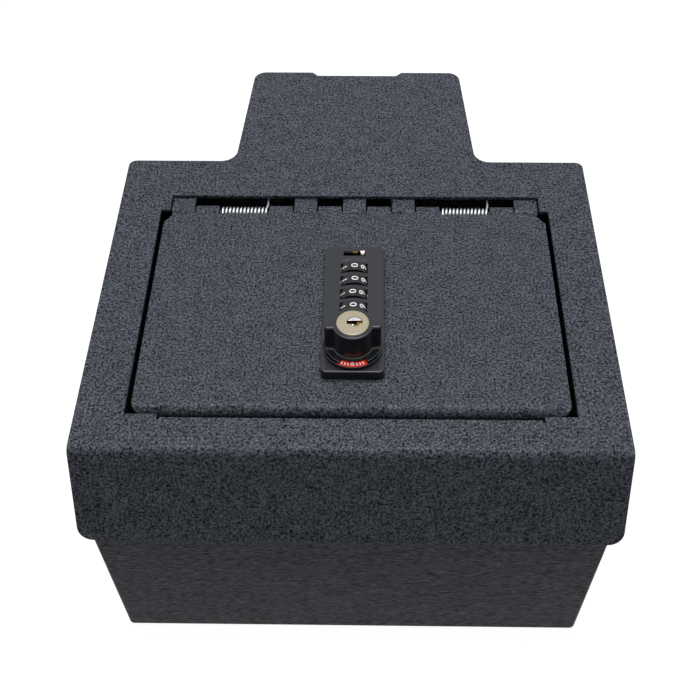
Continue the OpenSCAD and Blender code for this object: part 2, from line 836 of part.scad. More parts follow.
module knob() {
    color(gloss) at_lock() difference() {
        union() {
            translate([0, 0, disc_z]) cylinder(r = disc_r, h = disc_t, $fn = 96);
            translate([0, 0, disc_z]) cylinder(r = knob_r, h = disc_t + knob_h, $fn = 96);
            intersection() {
                translate([-wing_half, -wing_t / 2, disc_z]) cube([2 * wing_half, wing_t, disc_t + knob_h]);
                translate([0, 0, disc_z]) cylinder(r = wing_half, h = disc_t + knob_h, $fn = 96);
            }
        }
        // Bore of the key plug, the seat of its face and the socket of the spindle
        translate([0, 0, plug_foot]) cylinder(r = plug_r + run_fit, h = knob_top);
        translate([0, 0, knob_top - key_face_t]) cylinder(r = key_face_r + run_fit, h = key_face_t + over);
        translate([0, 0, disc_z - over])
            cylinder(r = spindle_r + hole_fit, h = spindle_top + hole_fit - disc_z + over);
        // Notch over the indicator plates
        translate([0, 0, disc_z - over]) rotate([0, 0, -90 - notch_half])
            rotate_extrude(angle = 2 * notch_half, $fn = 96)
            translate([notch_in_r, 0]) square([disc_r + over - notch_in_r, disc_t + 2 * over]);
    }
}

module key_plug() {
    color(nickel) at_lock() difference() {
        union() {
            translate([0, 0, knob_top - key_face_t])
                cylinder(r = key_face_r, h = key_face_t + key_face_rise, $fn = 96);
            translate([0, 0, plug_foot + slip]) cylinder(r = plug_r, h = knob_top - plug_foot - slip - eps);
        }
        translate([keyway_x - keyway_len / 2, -keyway_w / 2, plug_foot + slip + keyway_floor])
            cube([keyway_len, keyway_w, knob_top]);
    }
}

module spindle() {
    color(zinc) at_lock() difference() {
        union() {
            translate([0, 0, cam_top]) cylinder(r = spindle_r, h = spindle_top - cam_top);
            translate([-square_w / 2, -square_w / 2, cam_bottom]) cube([square_w, square_w, cam_t + over]);
        }
        translate([0, 0, cam_bottom - over])
            cylinder(d = cam_screw_d + 2 * hole_fit, h = cam_screw_in + 2 * over);
    }
}

// At rest the cam points to the left; a quarter turn of the knob brings it forward under the strike
module latch_cam() {
    color(zinc) at_lock() translate([0, 0, cam_bottom]) difference() {
        union() {
            cylinder(d = cam_eye_d, h = cam_t);
            translate([-cam_len + cam_w / 2, -cam_w / 2, 0]) cube([cam_len - cam_w / 2, cam_w, cam_t]);
            translate([-cam_len + cam_w / 2, 0, 0]) cylinder(d = cam_w, h = cam_t);
        }
        translate([-square_w / 2 - hole_fit, -square_w / 2 - hole_fit, -over])
            cube([square_w + 2 * hole_fit, square_w + 2 * hole_fit, cam_t + 2 * over]);
    }
}

module cam_washer() {
    color(zinc) at_lock() translate([0, 0, cam_bottom - washer_t]) difference() {
        cylinder(r = square_w, h = washer_t);
        translate([0, 0, -over]) cylinder(d = cam_screw_d + 2 * hole_fit, h = washer_t + 2 * over);
    }
}

module cam_screw() {
    foot = cam_bottom - washer_t;
    color(zinc) at_lock() {
        translate([0, 0, foot]) cylinder(d = cam_screw_d, h = washer_t + cam_screw_in);
        translate([0, 0, foot - cam_head_h]) difference() {
            cylinder(d = cam_head_d, h = cam_head_h);
            translate([-cross_w / 2, -cam_head_d / 2, -over]) cube([cross_w, cam_head_d, cross_deep + over]);
            translate([-cam_head_d / 2, -cross_w / 2, -over]) cube([cam_head_d, cross_w, cross_deep + over]);
        }
    }
}

top_plate();
front_wall();
rear_wall();
left_wall();
right_wall();
floor_plate();
fixed_knuckles();
hinge_pin();
left_spring();
right_spring();
latch_strike();
lid();
lock_housing();
rear_cover();
clamp_screws();
indicator_red();
indicator_green();
dial_shaft();
dial_1();
dial_2();
dial_3();
dial_4();
detent_spring();
locking_bar();
reset_slider();
reset_pin();
knob();
key_plug();
spindle();
latch_cam();
cam_washer();
cam_screw();
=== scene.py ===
"""Looks of a vehicle console safe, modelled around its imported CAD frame.

Metres, +X to the right, +Y to the rear tab, +Z up, with the safe standing on z = 0.
Sheet-metal pieces are drawn as their outer skin, bent, and then given their thickness inwards.
The lock's own sizes are in millimetres, from the knob's axis at the lid's top.
"""

import json
import math

import bmesh
import bpy
from mathutils import Matrix, Vector


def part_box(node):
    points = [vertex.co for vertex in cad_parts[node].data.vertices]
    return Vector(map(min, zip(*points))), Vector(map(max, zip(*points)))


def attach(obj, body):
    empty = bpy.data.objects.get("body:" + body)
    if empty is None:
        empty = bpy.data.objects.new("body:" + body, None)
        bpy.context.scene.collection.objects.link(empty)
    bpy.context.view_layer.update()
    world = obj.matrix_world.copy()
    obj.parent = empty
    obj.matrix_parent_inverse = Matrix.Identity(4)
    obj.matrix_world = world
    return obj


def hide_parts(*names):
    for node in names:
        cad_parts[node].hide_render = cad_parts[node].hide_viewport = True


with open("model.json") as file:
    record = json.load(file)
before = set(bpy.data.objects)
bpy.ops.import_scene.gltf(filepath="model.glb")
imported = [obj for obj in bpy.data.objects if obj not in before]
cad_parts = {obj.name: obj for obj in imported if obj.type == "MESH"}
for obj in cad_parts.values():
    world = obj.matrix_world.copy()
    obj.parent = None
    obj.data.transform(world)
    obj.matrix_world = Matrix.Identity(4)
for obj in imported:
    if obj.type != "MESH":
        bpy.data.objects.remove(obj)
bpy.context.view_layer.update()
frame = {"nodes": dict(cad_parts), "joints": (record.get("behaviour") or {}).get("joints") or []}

MM = 0.001
TINY = 0.02 * MM
MERGE_REACH = TINY / 4
CUT_REACH = 0.001 * MM

# Places read from the frame
plate_low, plate_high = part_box("top_plate")
joints = {joint["name"]: joint for joint in frame["joints"]}
HINGE_Y, HINGE_Z = joints["lid_hinge"]["pos_m"][1:]
KNOB_X, KNOB_Y, LID_TOP = joints["knob_turn"]["pos_m"]

# Sheet steel of 12 gauge, how round its edges are, and how finely its bends are drawn
SHEET_T = 2.7 * MM
CUT_EDGE_R, WELDED_EDGE_R = 0.45 * MM, 0.4 * MM
BEND_STEPS, CURL_STEPS = 8, 24

# How finely rounds are drawn, and how far a cutting tool stands past its piece in millimetres
FINE_SIDES, ROUND_SIDES, WHEEL_SIDES, SMALL_SIDES = 128, 96, 80, 24
TOOL_H, CLEAR = 20, 4

# Top plate with its tab and its apron
PLATE_W = plate_high.x - plate_low.x
PLATE_TOP = LID_TOP + SHEET_T
PLATE_CORNER_R = 5 * MM
APRON_LEN = 61.5 * MM
APRON_LEAN = math.radians(22)
APRON_CORNER_R = 8.5 * MM
BEND_R = 6 * MM
FRONT_Y = plate_low.y + APRON_LEN * math.sin(APRON_LEAN)
BEND_SETBACK = BEND_R * math.tan((math.pi / 2 - APRON_LEAN) / 2)
DOWN_APRON = Vector((0, -math.sin(APRON_LEAN), -math.cos(APRON_LEAN)))
TAB_LEN = 102 * MM
TAB_ROOT_W, TAB_END_W = 165 * MM, 151 * MM
TAB_ROOT_R, TAB_END_R = 10 * MM, 8 * MM
TAB_REAR = plate_high.y
PLATE_REAR = TAB_REAR - TAB_LEN
TAB_NOTCH_W, TAB_NOTCH_D = 66 * MM, 4 * MM

# The opening: its front edge stands back at both ends, with relief cuts at the steps
OPEN_W = 254.5 * MM
OPEN_SETBACK = 22.7 * MM
OPEN_FRONT = FRONT_Y + OPEN_SETBACK
OPEN_FRONT_STEP = 2.3 * MM
OPEN_FRONT_W = 217 * MM
RELIEF_W, RELIEF_D = 1.4 * MM, 1.6 * MM

# Lid
LID_W = 249.5 * MM
LID_FRONT_GAP = 6.8 * MM
LID_FRONT = OPEN_FRONT + LID_FRONT_GAP
LID_LIP = 10 * MM
LID_LIP_R = 3 * MM
LID_BEND_R = 6 * MM
LID_CORNER_R = 6 * MM
LID_CHAMFER = (6.2 * MM, 8.7 * MM)

# Hinge row: 15 cells, taken up by the lid's curls, the fixed curls and the springs
CURL_R = LID_TOP - HINGE_Z
CURL_ROOM = 0.5 * MM
LID_REAR = HINGE_Y - CURL_R - CURL_ROOM
HINGE_STEP = HINGE_Y - CURL_R
REAR_GAP = 4.2 * MM
OPEN_REAR = HINGE_Y + CURL_R + REAR_GAP
KNUCKLE_PITCH = 16.2 * MM
KNUCKLE_GAP = 1 * MM
CELLS = 15
HINGE_W = CELLS * KNUCKLE_PITCH
FIXED_CELLS = (0, 5, 7, 9, 14)
LID_CELLS = (1, 4, 6, 8, 10, 13)
SPRING_CELLS = {"left_spring": 2, "right_spring": 11}

# Box: its front wall lies behind the apron and leans in from there down to its foot
BOX_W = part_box("front_wall")[1].x * 2
BOX_EDGE_R = 3.2 * MM
REAR_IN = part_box("rear_wall")[0].y
REAR_OUT = REAR_IN + SHEET_T
WALL_TOP = Vector((0, FRONT_Y, PLATE_TOP)) + BEND_SETBACK * DOWN_APRON + Vector(
    (0, SHEET_T * math.cos(APRON_LEAN), -SHEET_T * math.sin(APRON_LEAN))
)
KINK_RISE = 0.6 * MM
WALL_KINK = WALL_TOP + (APRON_LEN - BEND_SETBACK - KINK_RISE) * DOWN_APRON
FRONT_LEAN = math.radians(4.8)
FOOT_Y = WALL_KINK.y + WALL_KINK.z * math.tan(FRONT_LEAN)
BOLT_X, BOLT_Y, BOLT_HOLE_R = 100 * MM, 65 * MM, 4.25 * MM

# Torsion springs. Turns are counted from the front leg to the rear one
WIRE_R, COIL_R, COIL_PITCH, COIL_TURNS = 0.9 * MM, 3.6 * MM, 2.4 * MM, 12
COIL_START, COIL_END, COIL_STEPS = 120, 90, 24
FRONT_LEG, FRONT_LEG_Z = 20 * MM, 0.86 * MM
REAR_LEG, REAR_LEG_ROOT = 17 * MM, 4 * MM

# Lock housing, in millimetres
LOCK_H, LOCK_FRONT, LOCK_REAR, LOCK_HALF = 7, 18.9, 84.1, 18.5
LOCK_CORNER_R, LOCK_EDGE_R = 3.4, 1.0
STEM_HALF, STEM_FRONT, STEM_REAR, STEM_FOOT = 12, 11, 75, 9.7
STEM_GAP, STEM_CORNER_R = 0.3, 1
BELOW_STEM = -11
DIAL_Z, DIAL_R, DIAL_W = 0.8, 9.7, 7.2
DIAL_FIRST, DIAL_PITCH, DIALS = 30.7, 11, 4
WELL_R, WELL_W = 10.6, 8.3
CHANNEL_FRONT, CHANNEL_REAR, CHANNEL_TOP = 23.2, 72.2, -6.5
RIDGE_FRONT = DIAL_FIRST - DIAL_PITCH / 2
RIDGE_REAR = DIAL_FIRST + (DIALS - 0.5) * DIAL_PITCH
RIDGE_RISE, RIDGE_HALF, RIDGE_RUN_OUT = 2.1, 11, 4
BOSS_R, BOSS_TOP, BOSS_WALL, BOSS_EDGE_R = 17.7, 9.5, 0.7, 0.28
DISH_R, DISH_D = 17.2, 0.6
BORE_R = 5.06
RESET_Y = 77.3
SLOT_HALF, SLOT_HALF_W, SLOT_CORNER_R, POCKET_HALF_W = 6.9, 2, 0.5, 2.5

# Dials: how far each wheel rests off its mark, in degrees, as the photograph shows
DIAL_REST = {1: 1.5, 2: 3.5, 3: -4, 4: -1}
NUMBERS = 10
DIAL_EDGE_R, DIAL_GROOVE, SHAFT_HOLE_R = 0.4, 0.98, 2.06
NUMBER_SIZE, NUMBER_STRETCH, NUMBER_BOLD, NUMBER_DEPTH = 5.9, 1.24, 0.03, 0.3
INK_RISE, INK_ROOT = 0.06, 0.25
ONE_NUDGE = 5

# Knob and key plug, in millimetres
DISC_Z, DISC_T, DISC_R = 9.4, 1.6, 16.6
DISC_TOP = DISC_Z + DISC_T
KNOB_FOOT = DISC_Z - 1
KNOB_TOP, BARREL_R, CROWN_R, CROWN_RISE = 28.4, 12, 10.6, 0.35
WING_R, WING_FOOT, WING_CORNER_R, WING_EDGE_R = 16.4, 4.1, 1.6, 1.1
DISC_EDGE_R, BARREL_EDGE_R, CROWN_EDGE_R, FACE_EDGE_R = 0.4, 0.9, 0.3, 0.4
WING_DRAFT = (0.995, 0.88, 1)
KNOB_NOTCH_R, KNOB_NOTCH_OUT, KNOB_NOTCH_HALF, KNOB_NOTCH_TOP = 13.3, 18, 30, KNOB_TOP - 8
PLUG_R, PLUG_GAP, PLUG_FOOT = 6.5, 0.06, 13
SOCKET_R, SOCKET_H = 5.1, 3.7
PLUG_H, PLUG_CLEAR = 14, 0.3
FACE_R, FACE_T, FACE_SEAT_R, FACE_SEAT_D = 9.5, 1.85, 9.6, 1.8
FACE_MIDDLE_R, FACE_MIDDLE_T, FACE_MIDDLE_EDGE_R = 8.7, 1.2, 0.12
FACE_MIDDLE_FOOT, FACE_TOP = KNOB_TOP - 1, KNOB_TOP + 0.2
KNOB_REST, PLUG_REST = 2, 3

# Keyway and what shows down it: corners and middles across the key's face, in millimetres
KEYWAY_FOOT, KEYWAY_OUT, KEYWAY_CORNER_R = 16.3, 32, 0.35
KEYWAY_LOW, KEYWAY_HIGH = (-3.4, -1.1), (5.6, 1.7)
BELLY_MIDDLE, BELLY_R, BELLY_H = (1.5, -0.4), 2.6, 17
ARCH_MIDDLE, ARCH_R, ARCH_Y = (1.2, -0.15), 4.6, 1.5
WARD_FOOT, WARD_EDGE_R = 17, 0.25
RIGHT_WARD_LOW, RIGHT_WARD_HIGH = (2.2, -1.0), (5.4, 1.4, 27.4)
LOW_WARD_LOW, LOW_WARD_HIGH = (0.2, -2.7), (3.4, -0.2, 27.2)
TUMBLER_R, TUMBLER_Y, TUMBLER_TOP = 4.45, 1.75, FACE_TOP - 0.3
BALL_MIDDLE, BALL_R = (0.05, -1.06), 0.75

# Printed marks on the red plate under the knob's notch
RED_PLATE_RISE, INK_T = 2.1, 0.02
MARK_TOP, MARK_T = LOCK_H + RED_PLATE_RISE + INK_T, 0.3
BAR_ANGLES, BAR_INNER, BAR_OUTER, BAR_HALF = (-24, -17, -10, 10, 17, 24), 14.0, 15.9, 1.3
PADLOCK_HALF, PADLOCK_FRONT, PADLOCK_CORNER_R = 1.1, -15.7, 0.25
SHACKLE_Y, SHACKLE_R, SHACKLE_HOLE_R = -14.2, 0.85, 0.42

# Reset slider and its pin, with the lining behind them, in millimetres
SLIDER_TOP, PIN_X, PIN_R, PIN_H = 4.2, 5.1, 1.4, 4.6
LINING_Y, LINING_REAR, LINING_FOOT = RESET_Y + 1.5, RESET_Y + 1.98, 2.2


# Modelling, as by hand
def to_objects():
    """Leaves edit mode with nothing selected."""
    if bpy.context.object and bpy.context.object.mode != "OBJECT":
        bpy.ops.object.mode_set(mode="OBJECT")
    bpy.ops.object.select_all(action="DESELECT")


def take_up(piece):
    """Makes a piece the only one selected, in object mode."""
    to_objects()
    piece.select_set(True)
    bpy.context.view_layer.objects.active = piece


def keep(name):
    """Names what was just added, with its place applied to its mesh."""
    piece = bpy.context.object
    piece.name = piece.data.name = name
    bpy.ops.object.transform_apply(location=True, rotation=True, scale=True)
    return piece


def add_block(name, low, high):
    """A block from corner low to corner high."""
    to_objects()
    low, high = Vector(low), Vector(high)
    bpy.ops.mesh.primitive_cube_add(size=1, location=(low + high) / 2, scale=high - low)
    return keep(name)


def add_sheet(name, low, high, z):
    """A flat skin from corner low to corner high, which faces up."""
    to_objects()
    middle = ((low[0] + high[0]) / 2, (low[1] + high[1]) / 2, z)
    bpy.ops.mesh.primitive_plane_add(size=1, location=middle)
    bpy.context.object.scale = (high[0] - low[0], high[1] - low[1], 1)
    return keep(name)


TURNS = {"X": (0, math.pi / 2, 0), "Y": (-math.pi / 2, 0, 0), "Z": (0, 0, 0)}


def add_round(name, foot, radius, height, along="Z", sides=64):
    """A cylinder that starts at foot and runs along an axis."""
    to_objects()
    step = Vector([height / 2 * (along == axis) for axis in "XYZ"])
    bpy.ops.mesh.primitive_cone_add(
        vertices=sides, radius1=radius, radius2=radius,
        depth=height, location=Vector(foot) + step, rotation=TURNS[along],
    )
    return keep(name)


def at_lock(x, y, z):
    """A place on the lock in millimetres, from the knob's axis at the lid's top."""
    return Vector((KNOB_X + x * MM, KNOB_Y + y * MM, LID_TOP + z * MM))


def lock_block(name, low, high):
    """A block of the lock, from corner to corner in the lock's millimetres."""
    return add_block(name, at_lock(*low), at_lock(*high))


def lock_round(name, foot, radius, height, along="Z", sides=64):
    """A cylinder of the lock, with its place and sizes in millimetres."""
    return add_round(name, at_lock(*foot), radius * MM, height * MM, along, sides)


def pick(piece, kind, test):
    """In edit mode, selects the vertices, edges or faces whose middle passes the test."""
    if piece.mode != "EDIT":
        take_up(piece)
        bpy.ops.object.mode_set(mode="EDIT")
    bpy.ops.mesh.select_mode(type=kind)
    bpy.ops.mesh.select_all(action="DESELECT")
    shape = bmesh.from_edit_mesh(piece.data)
    parts = {"VERT": shape.verts, "EDGE": shape.edges, "FACE": shape.faces}[kind]
    for part in parts:
        corners = [part.co] if kind == "VERT" else [vertex.co for vertex in part.verts]
        middle = sum(corners, Vector()) / len(corners)
        if test(middle, part):
            part.select_set(True)
    shape.select_flush_mode()
    bmesh.update_edit_mesh(piece.data)


def pick_all(piece):
    pick(piece, "VERT", lambda middle, part: True)


def upright(low, high):
    """A test for the edges of a lock block that stand between two of its heights."""
    return lambda middle, edge: abs(middle.z - LID_TOP - (low + high) / 2 * MM) < TINY


def cut(piece, point, normal, drop=False, fill=False, test=None):
    """Bisects the piece, or its faces that pass a test. drop takes what the normal points to."""
    if test:
        pick(piece, "FACE", test)
    else:
        pick_all(piece)
    bpy.ops.mesh.bisect(
        plane_co=point, plane_no=Vector(normal).normalized(), threshold=CUT_REACH,
        clear_outer=drop, use_fill=fill,
    )


def cut_lines(piece, axis, places, test=None):
    """Cuts lines across the piece, or its faces that pass a test, at places along an axis."""
    normal = [int(axis == name) for name in "XYZ"]
    for place in places:
        cut(piece, [place * share for share in normal], normal, test=test)


def extrude(offset):
    bpy.ops.mesh.extrude_region_move(TRANSFORM_OT_translate={"value": offset})


def bend(centre, axis, angle, steps):
    """Spins what is selected about an axis. The operator turns the other way."""
    bpy.ops.mesh.spin(steps=steps, angle=-angle, center=centre, axis=axis)


def round_corners(piece, radius, test, steps=8):
    """Rounds corners of a flat skin."""
    pick(piece, "VERT", test)
    bpy.ops.mesh.bevel(offset=radius, segments=steps, affect="VERTICES")


def round_edges(piece, radius, test, steps=6, profile=0.5):
    """Rounds edges. A profile below a quarter is hollow."""
    pick(piece, "EDGE", test)
    bpy.ops.mesh.bevel(offset=radius, segments=steps, profile=profile, affect="EDGES")


def face_out(piece, test=None):
    """Merges doubles and turns the faces outwards. On an open skin, test says which way is out."""
    pick_all(piece)
    bpy.ops.mesh.remove_doubles(threshold=MERGE_REACH)
    bpy.ops.mesh.normals_make_consistent(inside=False)
    if test is not None:
        shape = bmesh.from_edit_mesh(piece.data)
        largest = max(shape.faces, key=lambda face: face.calc_area())
        if largest.normal.dot(Vector(test)) < 0:
            bpy.ops.mesh.flip_normals()


def finish_with(piece, kind, **settings):
    """Adds a modifier and applies it."""
    take_up(piece)
    modifier = piece.modifiers.new(kind.lower(), kind)
    for name, value in settings.items():
        setattr(modifier, name, value)
    bpy.ops.object.modifier_apply(modifier=modifier.name)


def thicken(piece, thickness):
    """Gives an open skin its wall, inwards."""
    finish_with(piece, "SOLIDIFY", thickness=thickness, offset=-1, use_even_offset=True)


def soften(piece, width, steps=3, angle=35):
    """Breaks the sharp edges, and shades flats flat."""
    finish_with(
        piece, "BEVEL", width=width, segments=steps, limit_method="ANGLE",
        angle_limit=math.radians(angle), miter_outer="MITER_ARC",
    )
    shade(piece)


def shade(piece, angle=40):
    """Shades rounds smooth, and leaves edges over the angle sharp."""
    take_up(piece)
    bpy.ops.object.shade_smooth_by_angle(angle=math.radians(angle))
    finish_with(piece, "WEIGHTED_NORMAL", keep_sharp=True, weight=80)


def combine(piece, tool, operation):
    """Boolean with another closed piece, which is used up."""
    finish_with(piece, "BOOLEAN", object=tool, operation=operation, solver="EXACT")
    bpy.data.objects.remove(tool)


def carve(piece, tool):
    combine(piece, tool, "DIFFERENCE")


def weld_on(piece, tool):
    combine(piece, tool, "UNION")


def join_in(piece, others):
    """Joins other pieces into this one as loose shells."""
    take_up(piece)
    for other in others:
        other.select_set(True)
    bpy.ops.object.join()


def cell_span(cell):
    """The left and right ends of what fills a cell of the hinge row."""
    left = (cell - CELLS / 2) * KNUCKLE_PITCH
    return left + KNUCKLE_GAP / 2, left + KNUCKLE_PITCH - KNUCKLE_GAP / 2


def in_cells(x, cells):
    return any(low - TINY < x < high + TINY for low, high in map(cell_span, cells))


# Materials
def linear(code):
    """An sRGB hex colour as linear RGBA."""
    shares = [int(code[i:i + 2], 16) / 255 for i in (1, 3, 5)]
    return [v / 12.92 if v <= 0.04045 else ((v + 0.055) / 1.055) ** 2.4 for v in shares] + [1]


def add_node(tree, kind, inputs=None, stops=(), **settings):
    """Adds a shader node. inputs gives each socket a value or another node's output."""
    made = tree.nodes.new("ShaderNode" + kind)
    for name, value in settings.items():
        setattr(made, name, value)
    for number, (position, code) in enumerate(stops):
        points = made.color_ramp.elements
        point = points[number] if number < len(points) else points.new(position)
        point.position, point.color = position, linear(code)
    for name, value in (inputs or {}).items():
        if isinstance(value, bpy.types.NodeSocket):
            tree.links.new(value, made.inputs[name])
        else:
            made.inputs[name].default_value = value
    return made


def start_material(name, **values):
    """A material with its Principled shader's own sockets set."""
    made = bpy.data.materials.new(name)
    made.use_nodes = True
    shader = made.node_tree.nodes["Principled BSDF"]
    for key, value in values.items():
        shader.inputs[key.replace("_", " ")].default_value = value
    return made, made.node_tree, shader


def millimetres(tree, stretch=(1, 1, 1)):
    """Object coordinates in millimetres."""
    place = add_node(tree, "TexCoord")
    scale = [1 / MM * share for share in stretch]
    scaled = add_node(tree, "Mapping", {"Vector": place.outputs["Object"], "Scale": scale})
    return scaled.outputs["Vector"]


# The coat's grit and patches in millimetres, how much the patches count, and the heights
# at which its colour starts and ends: colour and gloss are painted darker into the grit's
# hollows as painted shade, and lighter on its tops as painted light
GRIT, PATCH, PATCH_SHARE = 1.3, 9, 0.12
COAT_LOW, COAT_HIGH = 0.41, 0.765
COAT_SHADED_STOPS = ((0, "#08090b"), (0.5, "#4b4f58"), (1, "#6c717b"))
COAT_IOR, COAT_ROUGHNESS = 1.5, 0.38
HOLLOW_SHADE_GLOSS, TOP_LIGHT_GLOSS = 0.4, 1.9


def powder_coat(name, stretch, relief, gloss):
    """Textured powder coat on steel: charcoal with a blue cast and a fine, even grain.

    Grit of 1 to 2 mm, drawn a little coarser than the real one so that it shows, on patches
    about 9 mm across. Colour and gloss are painted darker in the hollows between the grit, as
    painted shade, and lighter on its tops, as painted light; the bump gives the real relief.
    """
    made, tree, shader = start_material(name, Roughness=COAT_ROUGHNESS, IOR=COAT_IOR)
    place = millimetres(tree, stretch)
    grit = add_node(
        tree, "TexNoise", {"Vector": place, "Scale": 1 / GRIT, "Detail": 2.0, "Roughness": 0.65}
    )
    patch = add_node(tree, "TexNoise", {"Vector": place, "Scale": 1 / PATCH, "Detail": 3.0})
    height = add_node(
        tree, "Math", {0: patch.outputs["Fac"], 1: PATCH_SHARE, 2: grit.outputs["Fac"]},
        operation="MULTIPLY_ADD",
    )
    share = add_node(
        tree, "MapRange", {"Value": height.outputs[0], "From Min": COAT_LOW, "From Max": COAT_HIGH}
    )
    # Painted shade in the grit's hollows and painted light on its tops, in colour and in gloss
    colour = add_node(tree, "ValToRGB", {"Fac": share.outputs[0]}, COAT_SHADED_STOPS)
    tree.links.new(colour.outputs["Color"], shader.inputs["Base Color"])
    shine = add_node(
        tree, "MapRange",
        {"Value": share.outputs[0], "To Min": HOLLOW_SHADE_GLOSS * gloss, "To Max": TOP_LIGHT_GLOSS * gloss},
    )
    tree.links.new(shine.outputs[0], shader.inputs["Specular IOR Level"])
    bump = add_node(
        tree, "Bump", {"Height": height.outputs[0], "Distance": relief * MM, "Strength": 1.0}
    )
    tree.links.new(bump.outputs[0], shader.inputs["Normal"])
    return made


PLASTIC_IOR, PLASTIC_SPREAD = 1.54, 0.06


def moulded_plastic(name, code, roughness, grain, relief, shine=0.5):
    """Injection-moulded plastic: one colour with a fine spark-eroded grain in its gloss."""
    made, tree, shader = start_material(name, IOR=PLASTIC_IOR, Specular_IOR_Level=shine)
    place = millimetres(tree)
    spark = add_node(tree, "TexNoise", {"Vector": place, "Scale": 1 / grain, "Detail": 2.0})
    gloss = add_node(
        tree, "MapRange",
        {
            "Value": spark.outputs["Fac"],
            "To Min": roughness - PLASTIC_SPREAD, "To Max": roughness + PLASTIC_SPREAD,
        },
    )
    tree.links.new(gloss.outputs[0], shader.inputs["Roughness"])
    shader.inputs["Base Color"].default_value = linear(code)
    bump = add_node(
        tree, "Bump", {"Height": spark.outputs["Fac"], "Distance": relief * MM, "Strength": 1.0}
    )
    tree.links.new(bump.outputs[0], shader.inputs["Normal"])
    return made


METAL_SPREAD, METAL_RELIEF = 0.08, 0.01


def plated_metal(name, dark, light, roughness, grain=0.4):
    """Plated metal: a slight change of tone and gloss along its drawn or turned lines."""
    made, tree, shader = start_material(name, Metallic=1.0)
    place = millimetres(tree)
    lines = add_node(tree, "TexNoise", {"Vector": place, "Scale": 1 / grain, "Detail": 3.0})
    colour = add_node(tree, "ValToRGB", {"Fac": lines.outputs["Fac"]}, ((0.3, dark), (0.7, light)))
    tree.links.new(colour.outputs["Color"], shader.inputs["Base Color"])
    gloss = add_node(
        tree, "MapRange",
        {
            "Value": lines.outputs["Fac"],
            "To Min": roughness - METAL_SPREAD, "To Max": roughness + METAL_SPREAD,
        },
    )
    tree.links.new(gloss.outputs[0], shader.inputs["Roughness"])
    bump = add_node(
        tree, "Bump",
        {"Height": lines.outputs["Fac"], "Distance": METAL_RELIEF * MM, "Strength": 1.0},
    )
    tree.links.new(bump.outputs[0], shader.inputs["Normal"])
    return made


# Baked powder coat: dull charcoal with pin-point glints, and painted shade in its grit's hollows.
# On the box it ran a little as it was sprayed, which draws the grain out into faint streaks; the
# box's copy has far less gloss, so that it shows less of the white floor: a painted shade
COAT = powder_coat("textured_powder_coat", (1, 1, 1), 0.08, 0.1)
COAT_DRAWN = powder_coat("textured_powder_coat_drawn", (0.3, 1, 1.5), 0.2, 0.034)

# Moulded ABS: the housing is satin black, the knob glossy black, and the wells get a near-black
# copy, a painted shade
HOUSING_ABS = moulded_plastic("satin_abs", "#12161d", 0.27, 0.35, 0.004, 0.44)
WELL_PAINTED_SHADE = moulded_plastic("shaded_black_abs", "#08080a", 0.7, 0.35, 0.012, 0.1)
KNOB_ABS = moulded_plastic("gloss_black_abs", "#101217", 0.22, 0.8, 0.002, 0.46)
RED_ABS = moulded_plastic("red_abs", "#f03424", 0.3, 0.6, 0.004)
GREEN_ABS = moulded_plastic("green_abs", "#063a28", 0.3, 0.6, 0.004)

# Acetal wheels with a waxy dull black, and the matt white ink that is printed on them
DIAL_ACETAL = moulded_plastic("dial_acetal", "#202125", 0.38, 0.5, 0.006, 0.22)
WHITE_INK = moulded_plastic("white_pad_print", "#fbfbf9", 0.5, 0.4, 0.004)

# Black paint over the slightly rough skin of a die casting
CAST_ZINC = moulded_plastic("black_painted_die_casting", "#1c1c1f", 0.5, 0.7, 0.03)

# Metals: bluish bright zinc on the hardware, near-black steel on the pin, warm satin nickel on
# the key's face, and the brass, chrome and steel of the parts that show inside the lock
ZINC = plated_metal("bright_zinc_plate", "#a6abb1", "#c6c9cc", 0.3)
DARK_PIN_STEEL = plated_metal("oiled_dark_steel", "#2a2b2e", "#3d3f43", 0.45)
NICKEL = plated_metal("satin_nickel_plate", "#88806f", "#9f9784", 0.34, 0.25)
CHROME = plated_metal("bright_chrome", "#c8c9cb", "#e2e3e5", 0.14)
SATIN_STEEL = plated_metal("satin_steel", "#d9d6cc", "#f4f1ea", 0.5)
BRASS = plated_metal("brass", "#8d7440", "#b79a5c", 0.3)
# The wards' brass is drawn darker than the lining's brass
DARK_BRASS = plated_metal("tarnished_brass", "#54451f", "#6d5a2d", 0.45)


def give_material(piece, *materials):
    """Gives a piece these materials and no other."""
    piece.data.materials.clear()
    for material in materials:
        piece.data.materials.append(material)


def dress(piece, body, material, nodes):
    """Gives a finished piece its body, its material and the nodes it stands for."""
    take_up(piece)
    if not piece.data.materials:
        piece.data.materials.append(material)
    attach(piece, body)
    if nodes:
        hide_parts(*nodes)
    return piece


